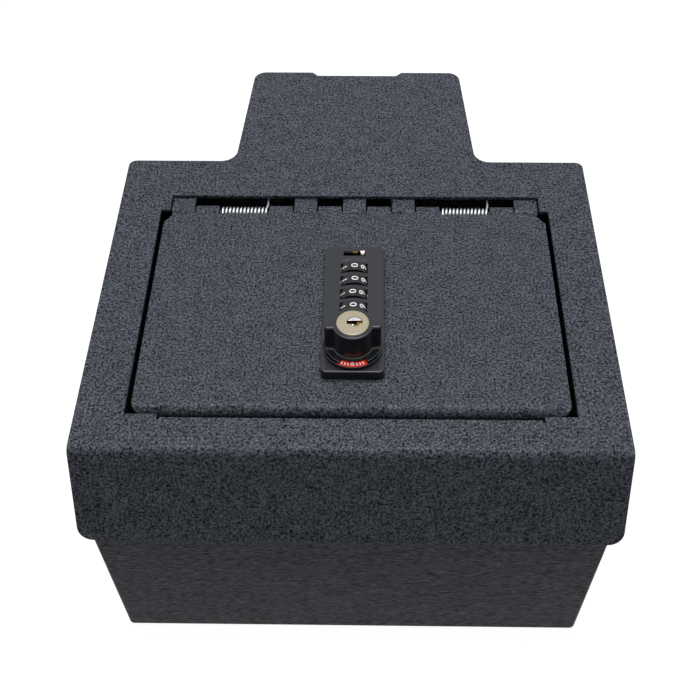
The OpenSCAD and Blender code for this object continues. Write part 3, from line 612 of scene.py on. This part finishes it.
def model_plate():
    """Top plate: T-shaped, with the opening, and the apron bent down in front."""
    bend_y = FRONT_Y + BEND_SETBACK
    plate = add_sheet(
        "console_plate", (-PLATE_W / 2, bend_y), (PLATE_W / 2, PLATE_REAR), PLATE_TOP
    )
    cut_lines(plate, "X", (-TAB_ROOT_W / 2, TAB_ROOT_W / 2))
    pick(plate, "EDGE", lambda m, e: m.y > PLATE_REAR - TINY and abs(m.x) < TAB_ROOT_W / 4)
    extrude((0, TAB_LEN, 0))
    bpy.ops.transform.resize(
        value=(TAB_END_W / TAB_ROOT_W, 1, 1), center_override=(0, TAB_REAR, PLATE_TOP)
    )
    flat = TAB_NOTCH_W / 2 - TAB_NOTCH_D
    cut_lines(plate, "X", (-TAB_NOTCH_W / 2, -flat, flat, TAB_NOTCH_W / 2))
    pick(plate, "VERT", lambda m, v: m.y > TAB_REAR - TINY and abs(m.x) < flat + TINY)
    bpy.ops.transform.translate(value=(0, -TAB_NOTCH_D, 0))
    pick_all(plate)
    bpy.ops.mesh.dissolve_limited(angle_limit=0.01)
    round_corners(
        plate, PLATE_CORNER_R,
        lambda m, v: m.y > PLATE_REAR - TINY and abs(m.x) > PLATE_W / 2 - TINY,
    )
    round_corners(
        plate, TAB_ROOT_R,
        lambda m, v: abs(m.y - PLATE_REAR) < TINY and abs(abs(m.x) - TAB_ROOT_W / 2) < TINY,
    )
    round_corners(
        plate, TAB_END_R, lambda m, v: m.y > TAB_REAR - TINY and abs(m.x) > TAB_END_W / 2 - TINY
    )
    # The opening, which narrows to the hinge row
    step_y = OPEN_FRONT + OPEN_FRONT_STEP
    relief_x = OPEN_FRONT_W / 2 - RELIEF_W
    cut_lines(plate, "Y", (OPEN_FRONT - RELIEF_D, OPEN_FRONT, step_y, HINGE_STEP, OPEN_REAR))
    widths = (OPEN_W, HINGE_W, OPEN_FRONT_W, 2 * relief_x)
    cut_lines(plate, "X", [side * width / 2 for side in (-1, 1) for width in widths])
    pick(
        plate, "FACE",
        lambda m, f: (OPEN_FRONT < m.y < step_y and abs(m.x) < OPEN_FRONT_W / 2)
        or (OPEN_FRONT - RELIEF_D < m.y < OPEN_FRONT and relief_x < abs(m.x) < OPEN_FRONT_W / 2)
        or (step_y < m.y < HINGE_STEP and abs(m.x) < OPEN_W / 2)
        or (HINGE_STEP < m.y < OPEN_REAR and abs(m.x) < HINGE_W / 2),
    )
    bpy.ops.mesh.delete(type="FACE")
    # The bend and the apron
    pick(plate, "EDGE", lambda m, e: m.y < bend_y + TINY)
    bend((0, bend_y, PLATE_TOP - BEND_R), (1, 0, 0), math.pi / 2 - APRON_LEAN, BEND_STEPS)
    extrude((APRON_LEN - BEND_SETBACK) * DOWN_APRON)
    lowest = PLATE_TOP + APRON_LEN * DOWN_APRON.z
    round_corners(
        plate, APRON_CORNER_R, lambda m, v: m.z < lowest + TINY and abs(m.x) > PLATE_W / 2 - TINY
    )
    face_out(plate, (0, 0, 1))
    thicken(plate, SHEET_T)
    soften(plate, CUT_EDGE_R)
    return dress(plate, "box", COAT, ["top_plate"])


def model_tub():
    """Box below the plate: one welded tub, open at the top, with bolt holes in its floor."""
    tub = add_block("box_tub", (-BOX_W / 2, FOOT_Y, 0), (BOX_W / 2, REAR_OUT, LID_TOP))
    cut_lines(tub, "Z", (WALL_KINK.z,))
    middle_y = (FOOT_Y + REAR_OUT) / 2
    pick(tub, "VERT", lambda m, v: m.y < middle_y and abs(m.z - WALL_KINK.z) < TINY)
    bpy.ops.transform.translate(value=(0, WALL_KINK.y - FOOT_Y, 0))
    pick(tub, "VERT", lambda m, v: m.y < middle_y and m.z > LID_TOP - TINY)
    bpy.ops.transform.translate(value=(0, WALL_TOP.y - FOOT_Y, WALL_TOP.z - LID_TOP))
    pick(tub, "FACE", lambda m, f: f.normal.z > 0.7)
    bpy.ops.mesh.delete(type="FACE")
    round_edges(
        tub, BOX_EDGE_R,
        lambda m, e: m.z < TINY or (abs(m.x) > BOX_W / 2 - TINY and m.y < WALL_TOP.y + TINY)
        or (abs(m.x) > BOX_W / 2 - TINY and m.y > REAR_OUT - TINY),
    )
    face_out(tub, (0, 0, -1))
    thicken(tub, SHEET_T)
    floor_y = (FOOT_Y + SHEET_T + REAR_IN) / 2
    drill_foot, drill_len = -MM, 5 * MM
    for side in (-1, 1):
        for end in (-1, 1):
            foot = (side * BOLT_X, floor_y + end * BOLT_Y, drill_foot)
            carve(tub, add_round("bolt_hole", foot, BOLT_HOLE_R, drill_len))
    soften(tub, WELDED_EDGE_R)
    return dress(
        tub, "box", COAT_DRAWN,
        ["front_wall", "rear_wall", "left_wall", "right_wall", "floor_plate"],
    )


def model_lid():
    """Lid: bent lip in front, chamfered rear corners, six curls round the pin."""
    bend_y = LID_FRONT + LID_BEND_R
    lid = add_sheet("lid_sheet", (-LID_W / 2, bend_y), (LID_W / 2, LID_REAR), LID_TOP)
    across, along = LID_CHAMFER
    for side in (-1, 1):
        foot = (side * LID_W / 2, LID_REAR - along, LID_TOP)
        cut(lid, foot, (side * along, across, 0), drop=True)
    low = at_lock(-STEM_HALF - STEM_GAP, -STEM_FRONT - STEM_GAP, 0)
    high = at_lock(STEM_HALF + STEM_GAP, STEM_REAR + STEM_GAP, 0)
    cut_lines(lid, "X", (low.x, high.x))
    cut_lines(lid, "Y", (low.y, high.y))
    pick(lid, "FACE", lambda m, f: low.x < m.x < high.x and low.y < m.y < high.y)
    bpy.ops.mesh.delete(type="FACE")
    cut_lines(lid, "X", [x for cell in LID_CELLS for x in cell_span(cell)])
    pick(lid, "EDGE", lambda m, e: m.y > LID_REAR - TINY and in_cells(m.x, LID_CELLS))
    extrude((0, HINGE_Y - LID_REAR, 0))
    bend((0, HINGE_Y, HINGE_Z), (1, 0, 0), -1.5 * math.pi, CURL_STEPS)
    pick(lid, "EDGE", lambda m, e: m.y < bend_y + TINY)
    bend((0, bend_y, LID_TOP - LID_BEND_R), (1, 0, 0), math.pi / 2, BEND_STEPS)
    extrude((0, 0, LID_BEND_R - LID_LIP))
    round_corners(
        lid, LID_LIP_R,
        lambda m, v: m.z < LID_TOP - LID_LIP + TINY and abs(m.x) > LID_W / 2 - TINY,
    )
    face_out(lid, (0, 0, 1))
    thicken(lid, SHEET_T)
    # The front corners are rounded right through the bend
    for side in (-1, 1):
        x, radius = side * LID_W / 2, LID_CORNER_R
        corner = add_block(
            "corner", (x - radius, LID_FRONT - radius, LID_TOP - 2 * LID_LIP),
            (x + radius, LID_FRONT + radius, LID_TOP + MM),
        )
        foot = (x - side * radius, LID_FRONT + radius, LID_TOP - 3 * LID_LIP)
        carve(corner, add_round("corner_round", foot, radius, 4 * LID_LIP, sides=ROUND_SIDES))
        carve(lid, corner)
    soften(lid, CUT_EDGE_R)
    return dress(lid, "lid", COAT, ["lid"])


def model_leaf():
    """Fixed leaf: five curls on straps that run back under the plate."""
    leaf = add_sheet("hinge_leaf", (-HINGE_W / 2, HINGE_Y), (HINGE_W / 2, REAR_IN), LID_TOP)
    cut_lines(leaf, "X", [x for cell in FIXED_CELLS for x in cell_span(cell)])
    pick(leaf, "FACE", lambda m, f: not in_cells(m.x, FIXED_CELLS))
    bpy.ops.mesh.delete(type="FACE")
    pick(leaf, "EDGE", lambda m, e: m.y < HINGE_Y + TINY)
    bend((0, HINGE_Y, HINGE_Z), (1, 0, 0), 1.5 * math.pi, CURL_STEPS)
    face_out(leaf, (0, 0, 1))
    thicken(leaf, SHEET_T)
    soften(leaf, WELDED_EDGE_R)
    return dress(leaf, "box", COAT, ["fixed_knuckles"])


def model_spring(name, cell):
    """Torsion spring: one wire wound on the pin over two cells, with a leg at both ends."""
    last = round((COIL_TURNS + (COIL_START - COIL_END) / 360) * COIL_STEPS)
    left = (cell - CELLS / 2) * KNUCKLE_PITCH
    spare = 2 * KNUCKLE_PITCH - last / COIL_STEPS * COIL_PITCH
    points = [(0, -FRONT_LEG, FRONT_LEG_Z), (0, -COIL_R - 2 * WIRE_R, FRONT_LEG_Z)]
    for i in range(last + 1):
        along = i * COIL_PITCH / COIL_STEPS
        angle = math.radians(COIL_START) - i * math.tau / COIL_STEPS
        points.append((along, COIL_R * math.cos(angle), COIL_R * math.sin(angle)))
    x, y, z = points[-1]
    points += [(x + WIRE_R, y + REAR_LEG_ROOT, z), (x + WIRE_R, y + REAR_LEG, z)]
    line = bpy.data.curves.new(name, "CURVE")
    line.dimensions = "3D"
    line.bevel_depth = WIRE_R
    line.bevel_resolution = 3
    line.use_fill_caps = True
    spline = line.splines.new("POLY")
    spline.points.add(len(points) - 1)
    origin = Vector((left + spare / 2, HINGE_Y, HINGE_Z))
    for point, place in zip(spline.points, points):
        point.co = (*(origin + Vector(place)), 1)
    piece = bpy.data.objects.new(name + "_wire", line)
    bpy.context.collection.objects.link(piece)
    take_up(piece)
    bpy.ops.object.convert(target="MESH")
    piece = bpy.context.object
    face_out(piece)
    shade(piece, angle=60)
    return dress(piece, "box", ZINC, [name])


def ring_tool(name, inner, outer, low, high, middle, half):
    """Part of a flat ring about the knob's axis, centred on angle middle."""
    thin, steps = 0.01, 28
    tool = lock_block(name, (inner, -thin, low), (outer, thin, high))
    pick_all(tool)
    start = math.radians(middle - half)
    bpy.ops.transform.rotate(value=-start, orient_axis="Z", center_override=at_lock(0, 0, low))
    turn = Matrix.Rotation(-start, 3, "Z")
    pick(tool, "FACE", lambda m, f: (turn @ f.normal).y > 0.9)
    bend(at_lock(0, 0, low), (0, 0, 1), 2 * math.radians(half), steps)
    face_out(tool)
    return tool


def raise_ridge(housing):
    """The ridge over the dials swells out of the housing's flat top."""
    ends = [RIDGE_FRONT - RIDGE_RUN_OUT + i for i in range(RIDGE_RUN_OUT + 1)]
    ends += [RIDGE_REAR + i for i in range(RIDGE_RUN_OUT + 1)]
    ends = [KNOB_Y + y * MM for y in ends]
    cut_lines(housing, "Y", ends)
    cut_lines(
        housing, "X", [at_lock(x, 0, 0).x for x in range(-RIDGE_HALF, RIDGE_HALF + 1)],
        lambda m, f: ends[0] < m.y < ends[-1],
    )
    for vertex in bmesh.from_edit_mesh(housing.data).verts:
        x, y, z = (vertex.co - at_lock(0, 0, 0)) / MM
        if abs(z - LOCK_H) < 0.01 and abs(x) < RIDGE_HALF:
            past = max(RIDGE_FRONT - y, y - RIDGE_REAR, 0) / RIDGE_RUN_OUT
            if past < 1:
                across = 1 + math.cos(math.pi * x / RIDGE_HALF)
                swell = across * (1 + math.cos(math.pi * past)) / 4
                vertex.co.z += RIDGE_RISE * swell * MM


def model_housing():
    """Lock housing on the lid: body, boss round the knob's disc, and the stem through the lid."""
    housing = lock_block("lock_body", (-LOCK_HALF, -LOCK_FRONT, 0), (LOCK_HALF, LOCK_REAR, LOCK_H))
    round_edges(housing, LOCK_CORNER_R * MM, upright(0, LOCK_H))
    soften(housing, LOCK_EDGE_R * MM, steps=6)
    raise_ridge(housing)
    boss = lock_round("boss", (0, 0, 0), BOSS_R, BOSS_TOP, sides=FINE_SIDES)
    carve(boss, lock_round(
        "boss_hollow", (0, 0, LOCK_H), BOSS_R - BOSS_WALL, CLEAR, sides=FINE_SIDES
    ))
    soften(boss, BOSS_EDGE_R * MM, angle=50)
    carve(housing, lock_round("dish", (0, 0, LOCK_H - DISH_D), DISH_R, CLEAR, sides=FINE_SIDES))
    weld_on(housing, boss)
    stem_top = 1
    stem = lock_block(
        "stem", (-STEM_HALF, -STEM_FRONT, -STEM_FOOT), (STEM_HALF, STEM_REAR, stem_top)
    )
    round_edges(stem, STEM_CORNER_R * MM, upright(-STEM_FOOT, stem_top), steps=3)
    weld_on(housing, stem)
    for i in range(DIALS):
        front = DIAL_FIRST + i * DIAL_PITCH - WELL_W / 2
        rear = DIAL_FIRST + i * DIAL_PITCH + WELL_W / 2
        carve(housing, lock_round(
            "well", (0, front, DIAL_Z), WELL_R, WELL_W, "Y", sides=WHEEL_SIDES
        ))
        carve(housing, lock_block(
            "well_foot", (-WELL_R, front, BELOW_STEM), (WELL_R, rear, DIAL_Z)
        ))
    carve(housing, lock_block(
        "channel", (-WELL_R, CHANNEL_FRONT, BELOW_STEM), (WELL_R, CHANNEL_REAR, CHANNEL_TOP)
    ))
    slot_z, slot_top = 4, 8
    slot = lock_block(
        "slot", (-SLOT_HALF, RESET_Y - SLOT_HALF_W, slot_z),
        (SLOT_HALF, RESET_Y + SLOT_HALF_W, slot_top),
    )
    round_edges(slot, SLOT_CORNER_R * MM, upright(slot_z, slot_top), steps=3)
    carve(housing, slot)
    carve(housing, lock_block(
        "pocket", (-SLOT_HALF, RESET_Y - POCKET_HALF_W, 2),
        (SLOT_HALF, RESET_Y + POCKET_HALF_W, slot_z + 0.5),
    ))
    carve(housing, lock_round("bore", (0, 0, BELOW_STEM), BORE_R, TOOL_H))
    # Inside the wells the ABS is drawn near black, a painted shade, so that the dials stand out
    give_material(housing, HOUSING_ABS, WELL_PAINTED_SHADE)
    margin = 0.1
    low = at_lock(-WELL_R - margin, RIDGE_FRONT, 0)
    high = at_lock(WELL_R + margin, RIDGE_REAR, LOCK_H - DISH_D)
    pick(
        housing, "FACE",
        lambda m, f: low.x < m.x < high.x and low.y < m.y < high.y and m.z < high.z
        and f.normal.z < 0.99,
    )
    housing.active_material_index = 1
    bpy.ops.object.material_slot_assign()
    shade(housing, angle=30)
    return dress(housing, "lid", HOUSING_ABS, ["lock_housing"])


def model_number(number):
    """One number, 4 mm tall, laid on the rim with its top towards the next number."""
    to_objects()
    bpy.ops.object.text_add(location=(0, 0, 0))
    text = bpy.context.object
    text.data.body = str(number)
    text.data.align_x = text.data.align_y = "CENTER"
    text.data.size = NUMBER_SIZE * MM
    text.data.offset = (0 if number == 1 else NUMBER_BOLD) * MM
    text.data.extrude = NUMBER_DEPTH * MM
    text.data.resolution_u = 4
    bpy.ops.object.convert(target="MESH")
    made = keep("number")
    low = Vector([min(v.co[i] for v in made.data.vertices) for i in range(3)])
    high = Vector([max(v.co[i] for v in made.data.vertices) for i in range(3)])
    middle = (low + high) / 2
    made.data.transform(Matrix.Translation(-middle))
    nudge = math.radians(ONE_NUDGE if number == 1 else 0)
    # Cut across in strips, so that it can follow the rim
    strips, strip = 4, 0.45
    for i in range(-strips, strips + 1):
        cut(made, (0, i * strip * MM, 0), (0, 1, 0))
    to_objects()
    # Text's up runs to -X over the rim, and its right runs to the rear
    for vertex in made.data.vertices:
        across, up, out = vertex.co
        angle = -up / (DIAL_R * MM) - number * math.tau / NUMBERS - nudge
        radius = DIAL_R * MM + (INK_RISE * MM if out > 0 else -INK_ROOT * MM)
        vertex.co = Vector(
            (radius * math.sin(angle), NUMBER_STRETCH * across, radius * math.cos(angle))
        )
    give_material(made, WHITE_INK)
    return made


def model_first_dial():
    """A wheel with its axis on the origin's Y axis: ten numbers, with a groove between them."""
    wheel = add_round(
        "dial_wheel", (0, -DIAL_W / 2 * MM, 0), DIAL_R * MM, DIAL_W * MM, "Y", sides=WHEEL_SIDES
    )
    round_edges(
        wheel, DIAL_EDGE_R * MM,
        lambda m, e: abs(abs(m.y) - DIAL_W / 2 * MM) < TINY and len(e.link_faces) == 2, steps=2,
    )
    half_step, near = math.radians(180 / NUMBERS), 0.02
    pick(
        wheel, "VERT",
        lambda m, v: abs((math.atan2(m.x, m.z) + half_step) % (2 * half_step) - half_step)
        > half_step - near,
    )
    bpy.ops.transform.resize(value=(DIAL_GROOVE, 1, DIAL_GROOVE), center_override=(0, 0, 0))
    reach = 6
    carve(wheel, add_round(
        "shaft_hole", (0, -reach * MM, 0), SHAFT_HOLE_R * MM, 2 * reach * MM, "Y", sides=32
    ))
    give_material(wheel, DIAL_ACETAL)
    shade(wheel, angle=25)
    join_in(wheel, [model_number(number) for number in range(NUMBERS)])
    return bpy.context.object


def model_dials():
    """Four copies of the wheel on the shaft, the first at the rear."""
    first = model_first_dial()
    for number, turn in DIAL_REST.items():
        wheel = first.copy()
        wheel.data = first.data.copy()
        wheel.name = wheel.data.name = "dial_wheel_%d" % number
        bpy.context.collection.objects.link(wheel)
        place = Matrix.Translation(at_lock(0, DIAL_FIRST + (DIALS - number) * DIAL_PITCH, DIAL_Z))
        wheel.data.transform(place @ Matrix.Rotation(math.radians(turn), 4, "Y"))
        dress(wheel, "dial_%d" % number, DIAL_ACETAL, ["dial_%d" % number])
    bpy.data.objects.remove(first)


def turn_at_rest(piece, degrees):
    """Turns a piece a little about the knob's axis, to where the photograph shows it."""
    pick_all(piece)
    bpy.ops.transform.rotate(
        value=-math.radians(degrees), orient_axis="Z", center_override=at_lock(0, 0, 0)
    )


def model_disc():
    """The knob's disc, with hollow fillets where the wings and the barrel stand on it."""
    disc = lock_round("disc", (0, 0, DISC_Z), DISC_R, DISC_T, sides=FINE_SIDES)
    soften(disc, DISC_EDGE_R * MM, steps=4)
    sink, near, hollow = 0.5, 0.1, 0.15
    lip_w, lip_h, lip_r = 1, 1.6, 1.05
    lip = lock_round(
        "wing_fillet", (0, 0, DISC_TOP - sink), WING_R - near, lip_h, sides=ROUND_SIDES
    )
    for side in (-1, 1):
        flank = at_lock(0, side * (WING_FOOT + lip_w), DISC_TOP)
        cut(lip, flank, (0, side, 0), drop=True, fill=True)
    round_edges(
        lip, lip_r * MM,
        lambda m, e: m.z > LID_TOP + (DISC_TOP - sink + lip_h - near) * MM
        and abs(m.y - KNOB_Y) > (WING_FOOT + lip_w - near) * MM,
        steps=5, profile=hollow,
    )
    weld_on(disc, lip)
    collar_w, collar_h, collar_r = 0.6, 1.2, 0.65
    collar = lock_round(
        "barrel_fillet", (0, 0, DISC_TOP - sink), BARREL_R + collar_w, collar_h, sides=FINE_SIDES
    )
    round_edges(
        collar, collar_r * MM,
        lambda m, e: m.z > LID_TOP + (DISC_TOP - sink + collar_h - near) * MM,
        steps=5, profile=hollow,
    )
    weld_on(disc, collar)
    return disc


def model_knob():
    """Knob: disc, barrel and two wings, with a notch that shows the plate below it."""
    foot_z, top_z = DISC_Z + DISC_T / 2, KNOB_TOP - CROWN_RISE
    knob = lock_block("lock_knob", (-WING_R, -WING_FOOT, foot_z), (WING_R, WING_FOOT, top_z))
    # The wings are thinner at the top, as a moulding that leaves its tool is
    pick(knob, "VERT", lambda m, v: m.z > LID_TOP + (top_z - 0.1) * MM)
    bpy.ops.transform.resize(value=WING_DRAFT, center_override=at_lock(0, 0, top_z))
    round_edges(knob, WING_CORNER_R * MM, upright(foot_z, top_z))
    soften(knob, WING_EDGE_R * MM, steps=6)
    barrel_h = top_z - DISC_Z - DISC_T / 2
    barrel = lock_round("barrel", (0, 0, foot_z), BARREL_R, barrel_h, sides=ROUND_SIDES)
    soften(barrel, BARREL_EDGE_R * MM, steps=6)
    weld_on(knob, barrel)
    crown_h = 2
    crown = lock_round("crown", (0, 0, KNOB_TOP - crown_h), CROWN_R, crown_h, sides=ROUND_SIDES)
    soften(crown, CROWN_EDGE_R * MM, steps=4, angle=60)
    weld_on(knob, crown)
    weld_on(knob, model_disc())
    carve(knob, ring_tool(
        "notch", KNOB_NOTCH_R, KNOB_NOTCH_OUT, KNOB_FOOT, KNOB_NOTCH_TOP, -90, KNOB_NOTCH_HALF
    ))
    carve(knob, lock_round("plug_bore", (0, 0, PLUG_FOOT), PLUG_R + PLUG_GAP, TOOL_H))
    carve(knob, lock_round(
        "face_seat", (0, 0, KNOB_TOP - FACE_SEAT_D), FACE_SEAT_R, CLEAR, sides=ROUND_SIDES
    ))
    carve(knob, lock_round("socket", (0, 0, KNOB_FOOT), SOCKET_R, SOCKET_H))
    turn_at_rest(knob, KNOB_REST)
    shade(knob, angle=30)
    return dress(knob, "knob", KNOB_ABS, ["knob"])


def arch_tool(name, radius, low_y, low, high):
    """The upper part of a round, above the line y = low_y."""
    tool = lock_round(name, (*ARCH_MIDDLE, low), radius, high - low)
    cut(tool, at_lock(0, low_y, 0), (0, -1, 0), drop=True, fill=True)
    face_out(tool)
    return tool


def model_plug():
    """Key plug: a face with a raised middle and a keyway, on the plug that turns in the knob."""
    face = lock_round(
        "key_face", (0, 0, KNOB_TOP - FACE_SEAT_D), FACE_R, FACE_T, sides=ROUND_SIDES
    )
    soften(face, FACE_EDGE_R * MM, steps=4, angle=60)
    middle = lock_round(
        "face_middle", (0, 0, FACE_MIDDLE_FOOT), FACE_MIDDLE_R, FACE_MIDDLE_T, sides=ROUND_SIDES
    )
    soften(middle, FACE_MIDDLE_EDGE_R * MM, angle=60)
    weld_on(face, middle)
    weld_on(face, lock_round("plug", (0, 0, PLUG_FOOT + PLUG_CLEAR), PLUG_R, PLUG_H))
    keyway = lock_block("keyway", (*KEYWAY_LOW, KEYWAY_FOOT), (*KEYWAY_HIGH, KEYWAY_OUT))
    round_edges(keyway, KEYWAY_CORNER_R * MM, upright(KEYWAY_FOOT, KEYWAY_OUT), steps=3)
    carve(face, keyway)
    carve(face, lock_round(
        "keyway_belly", (*BELLY_MIDDLE, KEYWAY_FOOT), BELLY_R, BELLY_H, sides=48
    ))
    carve(face, arch_tool("keyway_arch", ARCH_R, ARCH_Y, KEYWAY_FOOT, KEYWAY_OUT))
    turn_at_rest(face, PLUG_REST)
    shade(face, angle=30)
    return dress(face, "key_plug", NICKEL, ["key_plug"])


def model_wards():
    """What shows down the keyway: brass wards at its right, and the heads of two tumblers."""
    right = lock_block("key_wards", (*RIGHT_WARD_LOW, WARD_FOOT), RIGHT_WARD_HIGH)
    low = lock_block("ward", (*LOW_WARD_LOW, WARD_FOOT), LOW_WARD_HIGH)
    for ward in (right, low):
        soften(ward, WARD_EDGE_R * MM)
        give_material(ward, DARK_BRASS)
    arch = arch_tool("tumbler", TUMBLER_R, TUMBLER_Y, WARD_FOOT, TUMBLER_TOP)
    soften(arch, 0.8 * MM, steps=6, angle=60)
    give_material(arch, CHROME)
    ball_h = FACE_TOP - 0.6 - WARD_FOOT
    ball = lock_round("ball", (*BALL_MIDDLE, WARD_FOOT), BALL_R, ball_h, sides=SMALL_SIDES)
    soften(ball, 0.5 * MM, steps=5, angle=60)
    give_material(ball, CHROME)
    join_in(right, [low, arch, ball])
    turn_at_rest(right, PLUG_REST)
    return dress(right, "key_plug", DARK_BRASS, [])


def model_marks():
    """Marks on the red plate in the knob's notch: bars and a shut padlock."""
    foot = MARK_TOP - MARK_T
    marks = [
        ring_tool("bar", BAR_INNER, BAR_OUTER, foot, MARK_TOP, -90 + angle, BAR_HALF)
        for angle in BAR_ANGLES
    ]
    lock = lock_block(
        "padlock", (-PADLOCK_HALF, PADLOCK_FRONT, foot), (PADLOCK_HALF, SHACKLE_Y, MARK_TOP)
    )
    round_edges(lock, PADLOCK_CORNER_R * MM, upright(foot, MARK_TOP), steps=2)
    shackle = lock_round("shackle", (0, SHACKLE_Y, foot), SHACKLE_R, MARK_T, sides=SMALL_SIDES)
    carve(shackle, lock_round(
        "shackle_hole", (0, SHACKLE_Y, MARK_TOP - 1), SHACKLE_HOLE_R, 2, sides=SMALL_SIDES
    ))
    join_in(lock, marks + [shackle])
    made = bpy.context.object
    made.name = made.data.name = "indicator_marks"
    return dress(made, "lid", WHITE_INK, [])


def model_reset():
    """Reset slider with its slotted pin, and the lining of its slot."""
    slider = lock_block("reset_block", (0.4, RESET_Y - 1.9, 2.1), (6.5, RESET_Y + 1.3, SLIDER_TOP))
    soften(slider, 0.3 * MM)
    dress(slider, "reset_slider", HOUSING_ABS, ["reset_slider"])
    pin = lock_round("reset_stud", (PIN_X, RESET_Y, SLIDER_TOP), PIN_R, PIN_H, sides=32)
    soften(pin, 0.25 * MM)
    carve(pin, lock_block("pin_slot", (4.7, RESET_Y - 2, 7.6), (5.5, RESET_Y + 2, 9.2)))
    shade(pin, angle=30)
    dress(pin, "reset_slider", SATIN_STEEL, ["reset_pin"])
    # Behind the slider's path the slot's rear wall is lined: plastic at the left, brass beside it
    lining = lock_block("slot_lining", (-6.8, LINING_Y, LINING_FOOT), (-1.5, LINING_REAR, 6.6))
    soften(lining, 0.1 * MM)
    give_material(lining, HOUSING_ABS)
    insert = lock_block("insert", (-1.3, LINING_Y, LINING_FOOT), (1.9, LINING_REAR, 6.7))
    soften(insert, 0.15 * MM)
    give_material(insert, BRASS)
    join_in(lining, [insert])
    dress(lining, "lid", HOUSING_ABS, [])


model_plate()
model_tub()
model_lid()
model_leaf()
for spring, cell in SPRING_CELLS.items():
    model_spring(spring, cell)
model_housing()
model_dials()
model_knob()
model_plug()
model_wards()
model_marks()
model_reset()

# CAD nodes that stay, with their finishes
NODE_MATERIALS = {
    "hinge_pin": DARK_PIN_STEEL, "latch_strike": COAT, "rear_cover": CAST_ZINC, "clamp_screws": ZINC,
    "indicator_red": RED_ABS, "indicator_green": GREEN_ABS, "dial_shaft": ZINC,
    "detent_spring": ZINC, "locking_bar": ZINC, "spindle": ZINC, "latch_cam": ZINC,
    "cam_washer": ZINC, "cam_screw": ZINC,
}
for name, material in NODE_MATERIALS.items():
    for holder in frame["nodes"][name].material_slots:
        holder.material = material


# Floor, light and camera
FLOOR_HALF, FLOOR_TONE, FLOOR_GLOW = 4, "#868686", 0.95
WHITE, ROOM_LEVEL = "#ffffff", 0.12
LAMP_PLACE, LAMP_AIM, LAMP_SIZE, LAMP_WATTS = (0, 0.08, 1.6), (0, 0, 0.15), (0.9, 1.1), 19
CAMERA_PLACE, CAMERA_LENS, CAMERA_SENSOR = (0.0084, -0.5061, 0.6818), 56.57, 36
CAMERA_PAN, CAMERA_DOWN, CAMERA_ROLL = 1.288, 49.635, -0.54


def seen_share(tree):
    """1 where the camera, a gloss or a glass looks, and 0 where only light is gathered."""
    path = add_node(tree, "LightPath")
    seen = path.outputs["Is Camera Ray"]
    for ray in ("Is Glossy Ray", "Is Transmission Ray"):
        either = add_node(tree, "Math", {0: seen, 1: path.outputs[ray]}, operation="MAXIMUM")
        seen = either.outputs[0]
    return seen


def floor_material():
    """Matt white paper, shown as white where it is lit."""
    made = bpy.data.materials.new("white_paper_floor")
    made.use_nodes = True
    tree = made.node_tree
    tree.nodes.clear()
    seen = seen_share(tree)
    paper = add_node(tree, "BsdfDiffuse", {"Color": linear(FLOOR_TONE)})
    share = add_node(tree, "Math", {0: seen, 1: FLOOR_GLOW}, operation="MULTIPLY")
    glow = add_node(tree, "Emission", {"Color": linear(WHITE), "Strength": share.outputs[0]})
    both = add_node(tree, "AddShader", {0: paper.outputs[0], 1: glow.outputs[0]})
    add_node(tree, "OutputMaterial", {"Surface": both.outputs[0]})
    return made


def set_world(level):
    """A white room that lights the safe at this level and shows as white itself."""
    world = bpy.data.worlds.new("white_room")
    bpy.context.scene.world = world
    world.use_nodes = True
    tree = world.node_tree
    tree.nodes.clear()
    seen = seen_share(tree)
    room = add_node(tree, "Background", {"Color": linear(WHITE), "Strength": level})
    backdrop = add_node(tree, "Background", {"Color": linear(WHITE), "Strength": 1.0})
    mix = add_node(tree, "MixShader", {0: seen, 1: room.outputs[0], 2: backdrop.outputs[0]})
    add_node(tree, "OutputWorld", {"Surface": mix.outputs[0]})


def add_softbox(name, place, aim, size, watts):
    """A soft lamp at place that faces aim."""
    lamp = bpy.data.lights.new(name, "AREA")
    lamp.shape = "RECTANGLE"
    lamp.size, lamp.size_y = size
    lamp.energy = watts
    made = bpy.data.objects.new(name, lamp)
    bpy.context.collection.objects.link(made)
    made.location = place
    made.rotation_euler = (Vector(aim) - Vector(place)).to_track_quat("-Z", "Y").to_euler()


floor = add_sheet("floor", (-FLOOR_HALF, -FLOOR_HALF), (FLOOR_HALF, FLOOR_HALF), 0)
floor.data.materials.append(floor_material())
set_world(ROOM_LEVEL)
add_softbox("top_softbox", LAMP_PLACE, LAMP_AIM, LAMP_SIZE, LAMP_WATTS)

camera = bpy.data.cameras.new("camera")
camera.sensor_width = CAMERA_SENSOR
camera.lens = CAMERA_LENS
eye = bpy.data.objects.new("camera", camera)
bpy.context.collection.objects.link(eye)
turned = (
    Matrix.Rotation(math.radians(CAMERA_PAN), 4, "Z")
    @ Matrix.Rotation(math.radians(90 - CAMERA_DOWN), 4, "X")
    @ Matrix.Rotation(math.radians(CAMERA_ROLL), 4, "Z")
)
eye.matrix_world = Matrix.Translation(CAMERA_PLACE) @ turned
bpy.context.scene.camera = eye

bpy.context.scene.view_settings.view_transform = "Standard"
